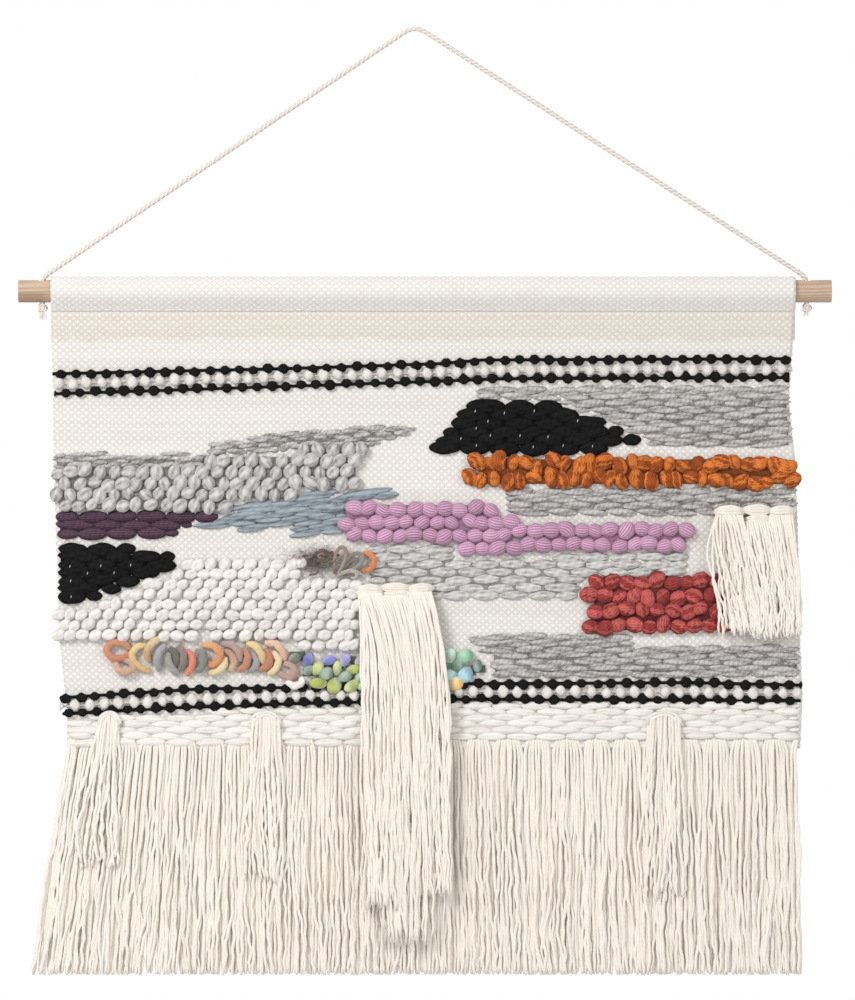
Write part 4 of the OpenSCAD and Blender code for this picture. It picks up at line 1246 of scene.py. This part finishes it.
strand_cotton = yarn_finish("cotton yarn ends", dye(245, 238, 228), dye(212, 200, 187), lay=0.0042,
                            depth=0.00018, gap=0.5, mottle=0.20, fibre=0.13)
CENTRE_WRAPS = [(-0.0360, -0.4475, 0.0112, 0.0108, 0.0), (-0.0155, -0.4450, 0.0124, 0.0080, 0.0),
                (-0.0145, -0.4505, 0.0120, 0.0078, 0.0003), (0.0045, -0.4460, 0.0110, 0.0092, 0.0009)]
RIGHT_WRAPS = [(0.2515, -0.3845, 0.0122, 0.0108, 0.0), (0.2735, -0.3830, 0.0120, 0.0092, 0.0),
               (0.2745, -0.3905, 0.0112, 0.0082, 0.0003), (0.2930, -0.3842, 0.0110, 0.0098, 0.0004)]
make_piece("centre_bound_wraps", [bound_wraps(CENTRE_WRAPS)], strand_cotton,
           "panel", ["centre_tassel_wraps"])
make_piece("right_bound_wraps", [bound_wraps(RIGHT_WRAPS)], strand_cotton,
           "panel", ["right_tassel_wraps"])

TUFTS = [
    ("centre_tuft_left", "centre_tassel", -0.4490, (-0.0455, -0.0270), -0.0405, -0.700, 54),
    ("centre_tuft_middle", "centre_tassel", -0.4510, (-0.0260, -0.0055), -0.0230, -0.728, 50),
    ("centre_tuft_right", "centre_tassel", -0.4480, (-0.0060, 0.0125), -0.0040, -0.690, 48),
    ("right_tuft_left", "right_tassel", -0.3870, (0.2405, 0.2610), 0.2430, -0.481, 44),
    ("right_tuft_middle", "right_tassel", -0.3920, (0.2635, 0.2835), 0.2610, -0.484, 42),
    ("right_tuft_right", "right_tassel", -0.3870, (0.2835, 0.3020), 0.2820, -0.482, 42),
]
for number, (node, body, height, above, left, drop, count) in enumerate(TUFTS):
    random = np.random.default_rng(110 + number)
    right_side = body == "right_tassel"
    layer = np.arange(count) % 4
    place = (np.arange(count) + random.uniform(0.1, 0.9, count)) / count
    across = above[1] - above[0]
    carried = (0.000, 0.001, 0.008, 0.014) if not right_side else (0.000, 0.003, 0.009, 0.014)
    end = left + across * place + np.array(carried)[layer] + random.normal(0, 0.0025, count)
    end = np.clip(end, left - 0.001, 0.3068 if right_side else 0.0262)
    top = np.stack([above[0] + across * place, -0.0074 - 0.0009 * layer,
                    np.full(count, height)], 1)
    foot = np.stack([end, -0.0098 - 0.0012 * layer,
                     drop + np.abs(random.normal(0, 0.006, count)) - 0.003], 1)
    bow = np.where((place < 0.35) & (layer > 0), -0.010 * (1 - place / 0.35), 0.0)
    bow = bow * (1.0 if node == "right_tuft_left" else 0.25)
    lean, wander = (1.7, 0.0022) if right_side else (6.0, 0.0034)
    strands = hanging_yarns(top, foot, lean, wander, 120 + number, radius=0.00108, groups=3, bow=bow)
    tuft = make_piece("yarn_" + node, [strands], strand_cotton, None, [node])
    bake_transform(tuft)

# ---- Bottom band ----
# Thick cream cotton wrapped in brick rows across the foot of the cloth, its last row left
# as a line of scallops. Three small tassels are folded over the band's top edge.

band = wrapped_rows("braid_band", row=0.0049, half=0.0032, thick=0.0018, rise=0.012,
                    plies=6, groove=0.06, wind=0.3, blunt=2.4, overlap=1.03, start=-0.0012,
                    uneven=0.05, seed=51)
# Its bed is painted dark, as the shade in the gaps between the wraps.
make_piece("wrapped_braid_band", [band, shaded_bed_rows("braid_band", 0.0049), tails_behind("braid_band", 52)],
           cream_cotton, "panel", ["braid_band"])

HEADS = [
    ("band_tassel_left", (-0.2515, -0.2365), (-0.2720, -0.2350), -0.665, 15),
    ("band_tassel_middle", (-0.1305, -0.1085), (-0.1360, -0.1030), -0.680, 18),
    ("band_tassel_right", (0.1860, 0.2120), (0.1790, 0.2180), -0.690, 18),
]
caps = []
for number, (node, above, below, drop, count) in enumerate(HEADS):
    random = np.random.default_rng(130 + number)
    u = np.linspace(-1, 1, 25)
    middle, half = sum(above) / 2, (above[1] - above[0]) / 2 + 0.0016
    for k in range(2):
        arch = np.zeros((1, 25, 3))
        arch[0, :, 0] = middle + half * (0.92 - 0.22 * k) * np.sin(u * math.pi / 2)
        arch[0, :, 1] = -0.0062 - 0.0008 * np.cos(u * math.pi / 2) ** 0.5
        arch[0, :, 2] = -0.5540 - 0.0020 * k + 0.0094 * np.cos(u * math.pi / 2) ** 0.8
        caps.append(yarn_tubes(arch, YARN_R, YARN_R, sides=10, plies=2, groove=0.06,
                               twist=4 * u[None], tone=random.uniform(0, 1)))
    layer = np.arange(count) % 2
    place = (np.arange(count) + random.uniform(0.1, 0.9, count)) / count
    top = np.stack([above[0] + (above[1] - above[0]) * place, -0.0052 - 0.0014 * layer,
                    -0.5460 - 0.0035 * np.abs(place * 2 - 1) ** 2], 1)
    foot = np.stack([below[0] + (below[1] - below[0]) * place + random.normal(0, 0.0015, count),
                     -0.0030 - 0.0012 * layer, drop + random.normal(0, 0.004, count)], 1)
    tassel = make_piece("yarn_" + node, [hanging_yarns(top, foot, 1.5, 0.0024, 140 + number, settle=0.35)],
                        strand_cotton, None, [node])
    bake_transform(tassel)
make_piece("folded_tassel_heads", caps, cream_cotton, "panel", ["band_tassel_heads"])

# ---- Fringe ----
# Loose cotton yarn ends under the band, three layers deep, one each 2.8 mm in every layer.
# The front ones are drawn in under the band's scallops and spread again, and all of them
# hang in soft clumps to a trimmed line.

FRINGE_TOP = -0.5665
FRINGE_FOOT = -0.7550
FRINGE_LEFT, FRINGE_WIDTH = -0.2765, 0.5810
FRINGE_YARNS = 208
FLARE_LEFT, FLARE_RIGHT = 0.030, 0.003
FLARED = 0.35
SCALLOP_MIDDLE = 0.0035


def fringe_half(name, numbers, seed, stands_for, above, depth, drawn=0.0, wander=0.0030,
                spread=0.0022, radius=YARN_R):
    """One run of the fringe's yarns, numbered from the left, u running from 0 to 1 across the
    whole. The foot's sideways shift is -FLARE_LEFT ((FLARED - u) / FLARED)^2 for u below
    FLARED and FLARE_RIGHT u beyond it. The top is drawn in towards its scallop's middle."""
    random = np.random.default_rng(seed)
    u = (numbers + 0.5) / FRINGE_YARNS
    x = FRINGE_LEFT + FRINGE_WIDTH * u
    scallop = SCALLOP_MIDDLE + np.floor((x - SCALLOP_MIDDLE) / WRAP_PITCH + 0.5) * WRAP_PITCH
    shift = np.where(u < FLARED, -FLARE_LEFT * ((FLARED - u) / FLARED) ** 2, FLARE_RIGHT * u)
    count = len(u)
    top = np.stack([x, np.full(count, above), np.full(count, FRINGE_TOP)], 1)
    foot = np.stack([x + shift + random.normal(0, spread, count),
                     depth + random.uniform(-0.0008, 0.0008, count),
                     FRINGE_FOOT + np.abs(random.normal(0, 0.0012, count))], 1)
    yarns = hanging_yarns(top, foot, 1.12, wander, seed + 1, radius, rings=48, sides=7, groups=3,
                          settle=0.12, pinch=(scallop - x) * drawn)
    piece = make_piece(name, [yarns], strand_cotton, None, stands_for)
    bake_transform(piece)


FRINGE_LAYERS = [
    ("", 150, dict(above=-0.0017, depth=-0.0012, drawn=0.30)),
    ("_middle", 170, dict(above=0.0002, depth=0.0006, wander=0.0016, spread=0.0014, radius=0.00145)),
    ("_back", 190, dict(above=0.0024, depth=0.0026, drawn=0.02, wander=0.0008, spread=0.0004,
                        radius=0.00165)),
]
left_half, right_half = np.split(np.arange(FRINGE_YARNS), 2)
for layer, seed, shape in FRINGE_LAYERS:
    stands_for = ["warp_fringe"] if layer == "" else ()
    fringe_half("yarn_fringe" + layer + "_left", left_half, seed, stands_for, **shape)
    fringe_half("yarn_fringe" + layer + "_right", right_half, seed + 10, (), **shape)
